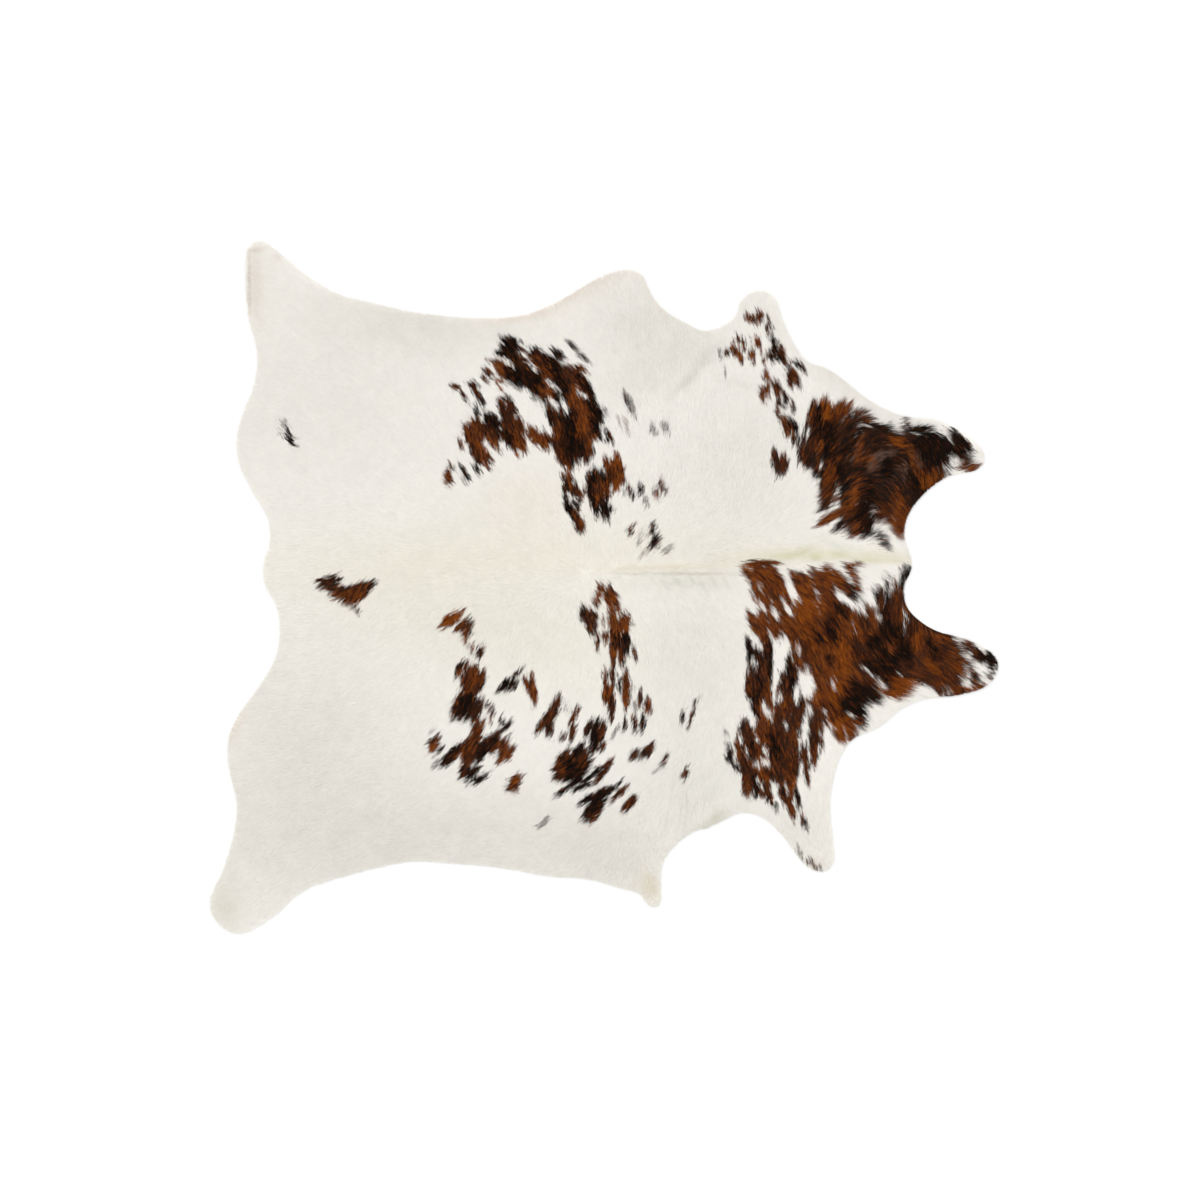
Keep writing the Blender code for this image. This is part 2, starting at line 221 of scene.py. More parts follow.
# The markings, as the short strokes that the tufts make. Each row is where a stroke starts, across and down,
# where it ends, how wide it is, all in pixels of the photograph, and its tone. Later rows lie over the
# earlier ones.
MARKINGS = {
    "fleck on the upper rump": [
        (280, 420, 282, 426, 3, "g"), (283, 419, 286, 425, 4, "g"), (278, 427, 280, 430, 3, "g"),
        (279, 432, 280, 435, 3, "g"), (285, 427, 289, 435, 5, "k"), (283, 432, 285, 434, 3, "g"),
        (286, 435, 293, 445, 6, "k"), (289, 436, 295, 437, 3, "b"), (290, 440, 295, 442, 3, "b"),
    ],
    "spot beside the tail": [
        (314, 582, 341, 579, 8, "b"), (320, 586, 345, 591, 13, "b"), (338, 598, 372, 585, 15, "b"),
        (344, 604, 366, 592, 12, "r"), (352, 606, 360, 614, 5, "b"), (366, 584, 375, 582, 5, "k"),
        (328, 577, 338, 576, 4, "k"), (330, 594, 340, 600, 8, "r"),
    ],
    "arch on the upper flank": [
        (499, 337, 522, 341, 6, "k"), (505, 341, 519, 347, 9, "k"), (502, 345, 520, 368, 17, "k"),
        (495, 351, 503, 357, 6, "k"), (529, 350, 540, 349, 7, "k"), (531, 350, 537, 372, 15, "k"),
        (499, 359, 510, 378, 10, "r"), (486, 360, 498, 363, 4, "r"), (495, 360, 504, 378, 9, "r"),
        (510, 364, 532, 385, 17, "k"), (504, 373, 526, 387, 10, "k"), (520, 352, 546, 396, 18, "b"),
        (536, 355, 560, 382, 20, "b"), (545, 356, 562, 374, 13, "k"), (539, 366, 556, 387, 12, "r"),
        (528, 365, 540, 380, 12, "k"), (555, 370, 575, 402, 17, "k"), (564, 368, 590, 398, 20, "b"),
        (574, 372, 593, 395, 10, "k"), (572, 366, 587, 371, 8, "r"), (529, 378, 546, 402, 14, "k"),
        (540, 388, 558, 399, 12, "r"), (561, 385, 572, 460, 25, "k"), (575, 384, 586, 456, 20, "r"),
        (584, 395, 596, 436, 15, "r"), (589, 400, 601, 422, 12, "k"), (592, 418, 599, 437, 10, "k"),
        (548, 404, 566, 442, 14, "b"), (547, 411, 556, 430, 7, "k"), (556, 425, 566, 458, 13, "r"),
        (549, 436, 560, 447, 9, "k"), (556, 440, 570, 467, 16, "b"), (569, 438, 586, 459, 19, "b"),
        (582, 440, 593, 453, 10, "b"), (566, 405, 573, 462, 15, "k"), (577, 440, 586, 458, 6, "k"),
        (499, 357, 511, 364, 4, "w"), (550, 398, 558, 408, 5.5, "w"), (561, 398, 567, 412, 4.5, "w"),
        (577, 390, 586, 397, 2.5, "w"), (520, 352, 528, 358, 3.5, "w"), (526, 362, 538, 371, 2, "w"),
        (545, 380, 560, 390, 2, "w"),
    ],
    "flecks round the arch": [
        (552, 350, 563, 358, 9, "k"), (567, 341, 582, 354, 6, "g"), (575, 350, 588, 361, 7, "g"),
        (484, 368, 491, 376, 8, "b"), (481, 375, 486, 380, 5, "b"), (494, 380, 504, 382, 5, "r"),
        (496, 383, 502, 390, 3, "r"), (450, 384, 459, 388, 7, "b"), (461, 391, 467, 402, 4, "b"),
        (467, 382, 479, 385, 5, "b"), (472, 385, 483, 403, 7, "b"), (480, 397, 484, 407, 5, "k"),
        (506, 381, 522, 391, 4, "g"), (531, 397, 547, 404, 6, "g"), (606, 428, 608, 441, 6, "k"),
        (609, 432, 613, 443, 4, "b"), (603, 407, 608, 415, 5, "g"), (623, 389, 632, 414, 6, "g"),
        (631, 398, 636, 420, 3, "g"), (617, 414, 620, 425, 3, "p"), (624, 418, 629, 433, 5, "p"),
        (651, 425, 657, 434, 6, "g"), (662, 422, 669, 432, 7, "g"), (568, 342, 578, 351, 2.5, "k"),
        (576, 349, 586, 359, 3, "k"), (625, 393, 630, 410, 2.5, "b"),
    ],
    "cluster below the arch": [
        (475, 404, 478, 426, 6, "k"), (471, 420, 478, 432, 11, "r"), (465, 424, 474, 446, 12, "r"),
        (479, 425, 474, 452, 15, "r"), (459, 438, 462, 449, 5, "r"), (472, 445, 481, 463, 10, "b"),
        (480, 447, 490, 461, 10, "r"), (482, 455, 488, 468, 7, "r"), (474, 462, 478, 474, 6, "k"),
        (484, 413, 499, 426, 10, "k"), (487, 419, 496, 441, 16, "k"), (480, 424, 490, 441, 9, "b"),
        (492, 430, 500, 441, 8, "b"), (488, 438, 498, 447, 8, "r"), (496, 444, 499, 452, 3, "r"),
        (490, 411, 503, 425, 5, "k"), (500, 398, 509, 396, 7, "b"), (500, 400, 512, 427, 12, "b"),
        (508, 400, 515, 413, 8, "b"), (505, 415, 520, 441, 18, "b"), (500, 431, 516, 447, 11, "k"),
        (515, 430, 524, 451, 12, "r"), (517, 412, 523, 430, 5, "r"), (522, 429, 531, 441, 3, "r"),
        (512, 445, 518, 456, 5, "r"), (528, 426, 538, 445, 9, "r"), (536, 431, 546, 448, 11, "r"),
        (543, 429, 549, 445, 5, "r"), (447, 470, 448, 486, 9, "r"), (449, 462, 453, 470, 5, "r"),
        (460, 463, 468, 479, 5, "k"), (461, 474, 466, 484, 3, "g"),
    ],
    "columns towards the spine": [
        (562, 473, 564, 481, 5, "k"), (568, 473, 567, 495, 12, "r"), (566, 480, 572, 500, 13, "b"),
        (574, 477, 577, 489, 4, "g"), (575, 484, 580, 502, 8, "b"), (565, 490, 570, 513, 9, "k"),
        (572, 498, 578, 508, 8, "k"), (568, 505, 578, 523, 9, "k"), (574, 514, 584, 525, 9, "r"),
        (577, 520, 582, 533, 10, "b"), (589, 470, 590, 502, 7, "b"), (594, 467, 598, 482, 8, "k"),
        (592, 478, 594, 502, 13, "k"), (600, 473, 606, 487, 13, "k"), (597, 480, 600, 506, 12, "b"),
        (604, 478, 608, 496, 10, "b"), (607, 494, 606, 504, 4, "k"), (596, 500, 597, 517, 7, "k"),
        (590, 499, 594, 507, 6, "k"), (604, 503, 605, 518, 10, "k"), (606, 508, 614, 509, 6, "k"),
        (607, 511, 608, 521, 6, "k"), (584, 486, 586, 495, 4, "r"), (579, 489, 583, 497, 4, "r"),
        (605, 457, 607, 469, 8, "r"), (616, 454, 616, 489, 13, "o"), (611, 461, 613, 483, 10, "r"),
        (620, 464, 623, 483, 8, "r"), (608, 468, 611, 480, 8, "b"), (568, 494, 572, 502, 3, "w"),
        (600, 484, 602, 496, 4, "r"), (574, 497, 576, 500, 3, "w"),
    ],
    "flecks above the spine": [
        (628, 484, 630, 494, 5, "b"), (633, 490, 634, 498, 4, "b"), (623, 489, 626, 494, 3, "g"),
        (640, 484, 643, 493, 7, "k"), (637, 488, 640, 495, 4, "k"), (644, 496, 648, 505, 6, "g"),
        (660, 477, 660, 487, 3, "b"), (662, 484, 667, 493, 7, "b"), (654, 489, 660, 498, 6, "r"),
        (626, 527, 630, 532, 4, "g"), (632, 526, 632, 535, 5, "b"), (641, 529, 640, 537, 3, "p"),
        (641, 539, 638, 546, 5, "g"), (653, 522, 653, 536, 6, "k"), (654, 533, 657, 543, 8, "k"),
        (656, 539, 648, 549, 7, "k"), (649, 547, 641, 556, 5, "p"), (661, 541, 657, 549, 5, "g"),
        (671, 546, 665, 553, 5, "g"), (648, 532, 646, 539, 2, "p"),
    ],
    "speckles on the upper foreleg": [
        (746, 313, 750, 321, 6, "r"), (752, 315, 756, 324, 6, "r"), (758, 310, 760, 320, 7, "b"),
        (764, 310, 761, 317, 4, "r"), (768, 316, 769, 323, 3, "b"), (766, 324, 768, 334, 4, "b"),
        (772, 327, 773, 333, 3, "k"), (772, 336, 775, 345, 6, "k"), (737, 334, 738, 341, 4, "b"),
        (743, 337, 744, 349, 6, "b"), (750, 336, 750, 341, 2, "b"), (756, 335, 759, 348, 7, "r"),
        (752, 349, 752, 361, 8, "r"), (719, 349, 721, 358, 4, "g"), (725, 349, 728, 356, 5, "b"),
        (724, 365, 725, 372, 3, "g"), (732, 343, 736, 356, 8, "r"), (738, 349, 742, 362, 6, "r"),
        (773, 346, 774, 359, 8, "k"), (762, 357, 771, 356, 5, "b"), (763, 358, 764, 365, 4, "b"),
        (768, 351, 772, 361, 5, "b"), (780, 344, 782, 359, 9, "b"), (783, 355, 785, 365, 6, "b"),
        (777, 355, 782, 361, 6, "k"), (787, 357, 790, 363, 3, "r"), (795, 358, 798, 367, 6, "k"),
        (800, 361, 804, 373, 6, "b"), (790, 367, 792, 386, 10, "b"), (795, 371, 799, 388, 5, "b"),
        (766, 369, 768, 379, 5, "r"), (763, 374, 765, 381, 4, "r"), (768, 381, 765, 393, 6, "r"),
        (761, 387, 763, 400, 7, "r"), (767, 387, 767, 397, 6, "r"), (773, 379, 778, 391, 9, "b"),
        (776, 382, 778, 397, 7, "b"), (783, 391, 786, 401, 6, "k"), (787, 395, 788, 404, 5, "k"),
        (778, 394, 778, 411, 5, "b"), (785, 397, 783, 406, 4, "k"), (792, 399, 793, 413, 4, "b"),
        (775, 410, 780, 419, 5, "r"), (781, 412, 784, 419, 5, "r"), (783, 417, 786, 431, 9, "r"),
        (786, 424, 788, 436, 6, "r"), (790, 418, 792, 431, 8, "k"), (795, 421, 797, 433, 5, "k"),
        (793, 430, 794, 446, 5, "b"), (797, 434, 799, 446, 5, "k"), (774, 449, 777, 470, 9, "k"),
        (783, 455, 782, 474, 12, "b"), (777, 461, 778, 475, 7, "b"), (788, 457, 787, 467, 4, "b"),
        (806, 420, 805, 431, 4, "b"), (803, 431, 804, 445, 4, "k"), (772, 454, 774, 462, 6, "b"),
    ],
    "patch on the upper cheek": [
        (815, 401, 810, 462, 15, "b"), (802, 446, 806, 466, 14, "b"), (812, 448, 815, 472, 12, "d"),
        (825, 403, 832, 472, 26, "k"), (842, 403, 842, 470, 18, "b"), (851, 426, 850, 502, 26, "d"),
        (868, 432, 866, 516, 30, "d"), (890, 432, 884, 518, 28, "d"), (909, 430, 903, 502, 24, "d"),
        (928, 430, 915, 486, 26, "k"), (944, 438, 934, 472, 20, "k"), (870, 462, 892, 452, 9, "s"),
        (866, 472, 884, 466, 8, "s"), (846, 462, 862, 450, 7, "s"), (916, 450, 920, 466, 6, "s"),
        (926, 432, 934, 440, 5, "s"), (905, 462, 896, 476, 6, "s"), (950, 432, 972, 452, 12, "k"),
        (955, 440, 968, 458, 13, "k"), (962, 458, 972, 462, 8, "b"), (829, 468, 826, 508, 17, "b"),
        (946, 472, 932, 486, 12, "b"), (934, 480, 914, 500, 18, "k"), (914, 496, 905, 518, 18, "d"),
        (906, 514, 901, 536, 12, "r"), (846, 494, 850, 530, 20, "b"), (864, 508, 862, 534, 24, "k"),
        (882, 508, 880, 520, 18, "b"), (896, 500, 899, 537, 13, "r"), (840, 511, 817, 526, 9, "r"),
        (843, 521, 834, 532, 7, "k"), (856, 527, 850, 537, 9, "b"), (868, 526, 873, 539, 9, "k"),
        (879, 530, 888, 549, 8, "k"), (856, 410, 872, 418, 9, "b"), (852, 416, 880, 428, 9, "d"),
        (874, 426, 896, 431, 11, "k"), (847, 408, 856, 424, 10, "b"), (853, 420, 872, 432, 11, "d"),
        (866, 430, 892, 440, 13, "d"), (864, 414, 870, 422, 6, "r"), (906, 418, 907, 434, 8, "b"),
        (914, 429, 932, 430, 10, "k"), (930, 434, 945, 443, 10, "k"), (944, 446, 960, 454, 18, "k"),
        (940, 456, 948, 466, 13, "k"), (890, 436, 912, 438, 9, "d"), (836, 406, 842, 420, 13, "r"),
        (826, 399, 829, 422, 11, "o"), (844, 402, 838, 414, 8, "r"), (853, 402, 845, 410, 5, "r"),
        (862, 438, 857, 456, 7, "r"), (855, 460, 872, 461, 6, "r"), (890, 440, 906, 446, 9, "o"),
        (820, 438, 818, 470, 5, "r"), (829, 460, 826, 496, 7, "r"), (831, 491, 838, 501, 6, "r"),
        (858, 474, 855, 502, 7, "r"), (853, 500, 840, 514, 7, "r"), (862, 519, 851, 533, 8, "r"),
        (923, 474, 931, 487, 11, "o"), (938, 468, 930, 480, 8, "r"), (912, 447, 915, 471, 6, "r"),
        (896, 489, 905, 501, 5, "o"), (888, 518, 900, 536, 9, "r"), (960, 467, 982, 467, 9, "r"),
        (958, 463, 972, 462, 6, "b"), (822, 424, 833, 436, 17, "k"), (838, 468, 842, 492, 11, "k"),
        (868, 478, 870, 501, 8, "k"), (856, 510, 863, 522, 14, "k"), (884, 458, 891, 476, 13, "k"),
        (848, 440, 846, 462, 8, "k"), (812, 474, 818, 476, 6, "k"), (822, 470, 820, 482, 8, "k"),
        (822, 505, 819, 512, 6, "k"), (843, 419, 853, 412, 0.8, "w"), (858, 423, 870, 427, 1.2, "w"),
        (881, 522, 883, 531, 5, "w"), (873, 506, 874, 514, 0.6, "w"), (898, 425, 900, 432, 6, "w"),
        (947, 433, 950, 438, 2, "w"), (952, 463, 954, 474, 3.5, "w"), (955, 462, 959, 462, 2.5, "w"),
        (808, 430, 808, 436, 4, "w"),
    ],
    "patch on the lower cheek": [
        (746, 564, 780, 563, 7, "r"), (745, 566, 757, 590, 11, "r"), (756, 564, 770, 594, 17, "r"),
        (769, 567, 784, 592, 15, "r"), (775, 588, 788, 614, 19, "r"), (760, 590, 769, 617, 15, "r"),
        (752, 590, 760, 605, 8, "r"), (749, 612, 756, 634, 9, "r"), (760, 612, 765, 642, 15, "r"),
        (775, 612, 779, 637, 18, "r"), (790, 608, 795, 642, 18, "r"), (791, 572, 800, 592, 9, "r"),
        (800, 575, 813, 602, 18, "r"), (813, 570, 826, 592, 14, "r"), (826, 567, 833, 592, 14, "r"),
        (836, 572, 848, 594, 12, "r"), (847, 566, 857, 576, 11, "r"), (850, 565, 862, 563, 5, "r"),
        (853, 572, 861, 592, 9, "r"), (845, 584, 856, 600, 14, "b"), (803, 598, 812, 640, 26, "o"),
        (824, 594, 834, 618, 24, "r"), (840, 604, 850, 622, 16, "b"), (799, 632, 803, 668, 20, "r"),
        (819, 618, 823, 694, 26, "r"), (842, 612, 846, 692, 26, "r"), (866, 610, 868, 700, 28, "b"),
        (892, 598, 890, 684, 26, "k"), (914, 618, 908, 690, 22, "b"), (930, 634, 926, 692, 22, "b"),
        (946, 640, 940, 692, 20, "b"), (962, 646, 955, 690, 18, "b"), (978, 652, 975, 682, 16, "b"),
        (888, 574, 886, 602, 5, "k"), (895, 578, 893, 602, 6, "b"), (906, 566, 902, 586, 9, "k"),
        (911, 567, 909, 580, 6, "k"), (900, 588, 902, 606, 9, "b"), (905, 606, 916, 618, 11, "b"),
        (914, 620, 936, 632, 16, "b"), (932, 632, 958, 642, 16, "b"), (940, 644, 962, 652, 14, "b"),
        (962, 641, 974, 647, 10, "b"), (918, 632, 938, 644, 12, "r"), (934, 634, 944, 640, 8, "r"),
        (945, 695, 968, 693, 8, "b"), (966, 691, 986, 685, 9, "r"), (986, 678, 994, 674, 6, "b"),
        (990, 655, 995, 668, 12, "k"), (972, 652, 992, 662, 9, "k"), (966, 642, 974, 652, 9, "b"),
        (968, 660, 972, 668, 5, "b"), (987, 675, 991, 679, 6, "b"), (986, 651, 994, 655, 6, "k"),
        (880, 588, 878, 612, 12, "b"), (898, 588, 895, 618, 13, "b"), (872, 590, 878, 601, 5, "k"),
        (828, 620, 835, 643, 14, "k"), (837, 604, 844, 618, 11, "k"), (817, 630, 818, 644, 7, "k"),
        (850, 592, 858, 600, 8, "k"), (878, 622, 886, 662, 17, "k"), (901, 638, 908, 662, 14, "k"),
        (864, 660, 892, 679, 14, "k"), (854, 686, 876, 700, 24, "k"), (845, 692, 858, 714, 14, "k"),
        (862, 694, 881, 698, 14, "k"), (838, 698, 846, 716, 20, "k"), (858, 703, 862, 726, 14, "k"),
        (828, 652, 830, 662, 7, "k"), (848, 716, 851, 740, 10, "k"), (829, 694, 829, 726, 12, "r"),
        (833, 700, 838, 722, 9, "k"), (858, 704, 864, 724, 14, "k"), (850, 722, 855, 738, 11, "b"),
        (868, 636, 872, 652, 8, "k"), (840, 638, 846, 677, 12, "o"), (837, 676, 840, 694, 10, "o"),
        (855, 610, 860, 640, 7, "o"), (872, 605, 874, 630, 6, "r"), (892, 684, 912, 686, 17, "o"),
        (886, 693, 910, 694, 9, "o"), (868, 692, 880, 702, 12, "k"), (918, 628, 918, 648, 8, "o"),
        (880, 690, 902, 699, 7, "o"), (832, 722, 856, 723, 13, "o"), (836, 728, 844, 742, 12, "o"),
        (846, 730, 852, 738, 8, "r"), (848, 718, 852, 734, 9, "r"), (888, 640, 892, 652, 7, "r"),
        (900, 606, 903, 622, 6, "r"), (905, 620, 912, 634, 6, "k"), (930, 640, 940, 660, 9, "k"),
        (922, 660, 940, 672, 9, "o"), (945, 684, 965, 690, 8, "r"), (952, 664, 962, 672, 8, "o"),
        (992, 654, 993, 672, 9, "k"), (822, 690, 820, 712, 12, "r"), (815, 690, 818, 704, 9, "o"),
        (832, 690, 834, 706, 11, "o"), (783, 567, 790, 584, 5, "w"), (788, 582, 797, 599, 4, "w"),
        (785, 603, 792, 615, 4, "w"), (773, 609, 778, 619, 5, "w"), (752, 590, 757, 603, 1.5, "w"),
        (759, 582, 762, 592, 0.8, "w"), (747, 576, 750, 590, 1.2, "w"), (761, 603, 766, 614, 3, "w"),
        (846, 597, 850, 603, 5, "w"), (858, 600, 864, 612, 4, "w"), (870, 596, 876, 606, 5, "w"),
        (862, 575, 866, 592, 6, "w"), (918, 688, 936, 696, 9, "w"), (905, 698, 936, 700, 7, "w"),
        (957, 636, 960, 643, 3, "w"), (963, 645, 965, 650, 1.5, "w"), (966, 654, 968, 660, 2.5, "w"),
        (975, 662, 985, 676, 8, "w"), (978, 645, 986, 650, 3.5, "w"), (864, 668, 876, 680, 1, "w"),
    ],
    "patch from the lower shoulder to the foreleg": [
        (762, 724, 764, 792, 26, "b"), (784, 716, 786, 784, 30, "b"), (800, 700, 796, 724, 16, "b"),
        (760, 646, 758, 716, 18, "b"), (748, 638, 753, 672, 8, "k"), (752, 668, 750, 697, 13, "b"),
        (760, 640, 758, 704, 8, "k"), (767, 638, 766, 722, 11, "b"), (771, 640, 771, 682, 5, "k"),
        (752, 700, 756, 717, 6, "k"), (766, 690, 770, 742, 14, "r"), (785, 678, 782, 738, 18, "b"),
        (796, 690, 798, 738, 14, "b"), (784, 672, 787, 698, 11, "b"), (794, 664, 795, 694, 9, "b"),
        (788, 650, 792, 692, 8, "k"), (796, 640, 797, 668, 6, "r"), (803, 640, 806, 668, 8, "b"),
        (739, 733, 738, 764, 8, "r"), (745, 722, 750, 792, 17, "b"), (761, 722, 763, 796, 16, "r"),
        (776, 722, 778, 782, 18, "b"), (790, 738, 792, 784, 18, "b"), (803, 742, 807, 772, 8, "b"),
        (812, 702, 815, 762, 12, "b"), (821, 704, 821, 732, 11, "b"), (823, 733, 822, 749, 5, "b"),
        (813, 758, 815, 768, 5, "r"), (805, 770, 809, 786, 6, "b"), (746, 782, 748, 797, 11, "r"),
        (755, 772, 757, 799, 8, "k"), (765, 784, 773, 807, 8, "b"), (775, 804, 778, 812, 4, "k"),
        (781, 788, 789, 810, 8, "b"), (788, 798, 794, 819, 9, "r"), (796, 788, 799, 808, 6, "k"),
        (793, 776, 790, 802, 8, "r"), (801, 817, 807, 828, 7, "b"), (797, 847, 803, 861, 4, "g"),
        (808, 861, 822, 871, 5, "b"), (729, 746, 730, 763, 8, "k"), (732, 760, 739, 773, 5, "k"),
        (724, 733, 728, 735, 6, "g"), (774, 735, 777, 760, 9, "k"), (798, 690, 800, 712, 8, "k"),
        (771, 736, 775, 750, 8, "k"), (752, 742, 756, 762, 6, "k"), (782, 700, 784, 716, 6, "r"),
        (754, 690, 756, 704, 6, "k"), (778, 790, 780, 796, 4, "k"), (784, 640, 784, 656, 14, "w"),
        (781, 652, 778, 672, 11, "w"), (776, 670, 776, 684, 4, "w"), (806, 673, 809, 694, 13, "w"),
        (797, 688, 796, 703, 7, "w"), (781, 695, 779, 701, 5, "w"), (798, 646, 799, 656, 2.5, "w"),
        (789, 706, 803, 711, 9, "b"), (803, 699, 811, 704, 6, "b"), (756, 640, 762, 650, 4, "w"),
        (752, 660, 757, 669, 4, "w"), (763, 706, 771, 718, 5, "w"), (810, 706, 811, 715, 4, "w"),
        (806, 717, 804, 744, 6, "w"), (785, 724, 786, 729, 3, "w"), (764, 750, 767, 754, 5, "w"),
        (762, 763, 769, 763, 6, "w"), (756, 762, 758, 767, 3.5, "w"), (741, 737, 741, 746, 3.5, "w"),
        (772, 784, 776, 790, 4, "w"), (776, 794, 776, 804, 4, "w"), (748, 751, 748, 760, 1.5, "w"),
        (759, 781, 762, 788, 3, "w"), (756, 736, 758, 743, 2, "w"), (784, 786, 790, 794, 1.5, "w"),
        (735, 752, 735, 764, 2.5, "w"), (824, 710, 825, 716, 2, "w"), (825, 727, 826, 742, 4, "w"),
        (800, 732, 799, 742, 2, "w"),
    ],
    "chain on the lower flank": [
        (441, 627, 460, 613, 12, "o"), (455, 631, 468, 622, 9, "r"), (466, 620, 471, 633, 9, "b"),
        (463, 630, 466, 641, 7, "r"), (465, 640, 467, 646, 5, "r"), (473, 643, 471, 654, 5, "r"),
        (480, 647, 479, 659, 9, "b"), (462, 661, 456, 677, 7, "b"), (468, 660, 461, 677, 5, "r"),
        (470, 668, 463, 692, 11, "b"), (475, 668, 468, 702, 15, "r"), (484, 671, 476, 694, 9, "b"),
        (460, 694, 453, 719, 10, "b"), (467, 694, 459, 719, 12, "k"), (475, 698, 466, 721, 11, "k"),
        (481, 699, 472, 724, 10, "b"), (486, 704, 493, 716, 7, "b"), (477, 720, 474, 742, 10, "r"),
        (484, 720, 480, 734, 5, "r"), (490, 717, 490, 724, 5, "r"), (500, 719, 504, 727, 6, "k"),
        (512, 721, 502, 732, 5, "k"), (512, 733, 508, 736, 3, "g"), (434, 728, 430, 734, 4, "p"),
        (440, 737, 428, 745, 8, "b"), (437, 744, 429, 752, 8, "r"), (443, 746, 439, 752, 5, "k"),
        (437, 753, 434, 757, 3, "g"), (438, 760, 433, 768, 5, "g"), (463, 744, 441, 767, 12, "k"),
        (462, 752, 446, 762, 8, "b"), (471, 738, 464, 770, 14, "r"), (480, 733, 470, 762, 12, "b"),
        (491, 738, 475, 762, 12, "k"), (498, 733, 489, 752, 14, "b"), (505, 740, 500, 760, 13, "r"),
        (514, 747, 504, 761, 8, "r"), (500, 757, 497, 766, 5, "r"), (469, 764, 460, 779, 10, "b"),
        (479, 767, 465, 780, 7, "k"), (486, 775, 474, 785, 6, "k"), (475, 778, 469, 784, 5, "k"),
        (496, 737, 489, 748, 7, "k"), (519, 777, 507, 789, 11, "b"), (515, 775, 514, 792, 7, "r"),
    ],
    "chain by the lower flank's middle": [
        (523, 668, 511, 681, 4, "k"), (510, 678, 497, 693, 6, "k"), (517, 680, 507, 691, 9, "k"),
        (524, 677, 528, 691, 8, "r"), (532, 673, 533, 702, 7, "r"), (536, 688, 534, 707, 5, "r"),
        (559, 697, 546, 730, 10, "b"), (552, 711, 536, 733, 9, "b"), (548, 718, 550, 737, 9, "b"),
        (564, 705, 568, 713, 5, "p"), (578, 708, 570, 726, 6, "r"), (574, 724, 570, 743, 7, "b"),
        (566, 734, 559, 741, 6, "b"), (591, 722, 585, 736, 8, "b"), (598, 721, 592, 746, 10, "k"),
        (605, 721, 599, 743, 7, "b"), (597, 738, 591, 754, 9, "k"), (605, 743, 598, 752, 6, "b"),
    ],
    "cluster on the lower belly": [
        (568, 752, 555, 777, 15, "b"), (582, 748, 565, 779, 18, "k"), (587, 753, 574, 776, 12, "b"),
        (560, 763, 557, 781, 12, "b"), (592, 760, 571, 787, 8, "k"), (574, 783, 554, 797, 6, "k"),
        (601, 767, 579, 786, 6, "k"), (611, 760, 594, 785, 8, "b"), (593, 784, 571, 791, 5, "k"),
        (613, 788, 589, 801, 11, "k"), (601, 793, 579, 804, 8, "k"), (627, 787, 611, 801, 6, "b"),
        (622, 779, 615, 791, 3, "k"), (602, 799, 585, 819, 17, "k"), (597, 811, 589, 823, 9, "b"),
        (635, 797, 623, 811, 10, "b"), (548, 818, 539, 827, 7, "g"), (576, 770, 570, 780, 8, "k"),
    ],
    "column below the spine": [
        (602, 585, 600, 602, 9, "r"), (610, 588, 612, 607, 13, "r"), (617, 594, 618, 613, 5, "r"),
        (594, 599, 597, 607, 6, "r"), (585, 607, 583, 620, 10, "k"), (590, 611, 592, 633, 13, "b"),
        (597, 613, 597, 626, 4, "b"), (603, 619, 604, 625, 5, "r"), (597, 631, 598, 651, 5, "b"),
        (605, 632, 605, 643, 7, "r"), (612, 604, 614, 667, 9, "r"), (616, 620, 617, 652, 10, "r"),
        (619, 628, 619, 650, 4, "k"), (627, 611, 626, 634, 9, "r"), (622, 616, 620, 642, 7, "r"),
        (627, 634, 625, 656, 10, "k"), (621, 644, 622, 667, 8, "b"), (634, 647, 636, 663, 4, "b"),
        (633, 622, 634, 627, 2, "g"), (605, 669, 606, 692, 6, "r"), (614, 662, 612, 692, 6, "b"),
        (607, 686, 610, 707, 13, "r"), (612, 698, 611, 723, 7, "b"), (619, 679, 620, 693, 4, "k"),
        (626, 671, 626, 710, 9, "r"), (633, 684, 634, 689, 2, "g"), (641, 689, 639, 709, 5, "b"),
        (635, 702, 634, 711, 4, "g"), (648, 701, 648, 714, 9, "r"), (634, 715, 635, 734, 6, "b"),
        (643, 715, 641, 734, 6, "k"), (625, 720, 622, 732, 6, "k"), (618, 726, 612, 739, 4, "g"),
        (616, 632, 617, 648, 6, "k"),
    ],
    "flecks behind the lower elbow": [
        (638, 750, 631, 760, 8, "b"), (645, 749, 640, 759, 7, "k"), (652, 744, 647, 757, 7, "b"),
        (666, 755, 662, 767, 5, "b"), (662, 765, 652, 774, 4, "g"), (686, 769, 683, 779, 7, "b"),
        (683, 712, 682, 723, 5, "k"), (700, 699, 692, 707, 3, "b"), (694, 708, 688, 729, 4, "b"),
    ],
}

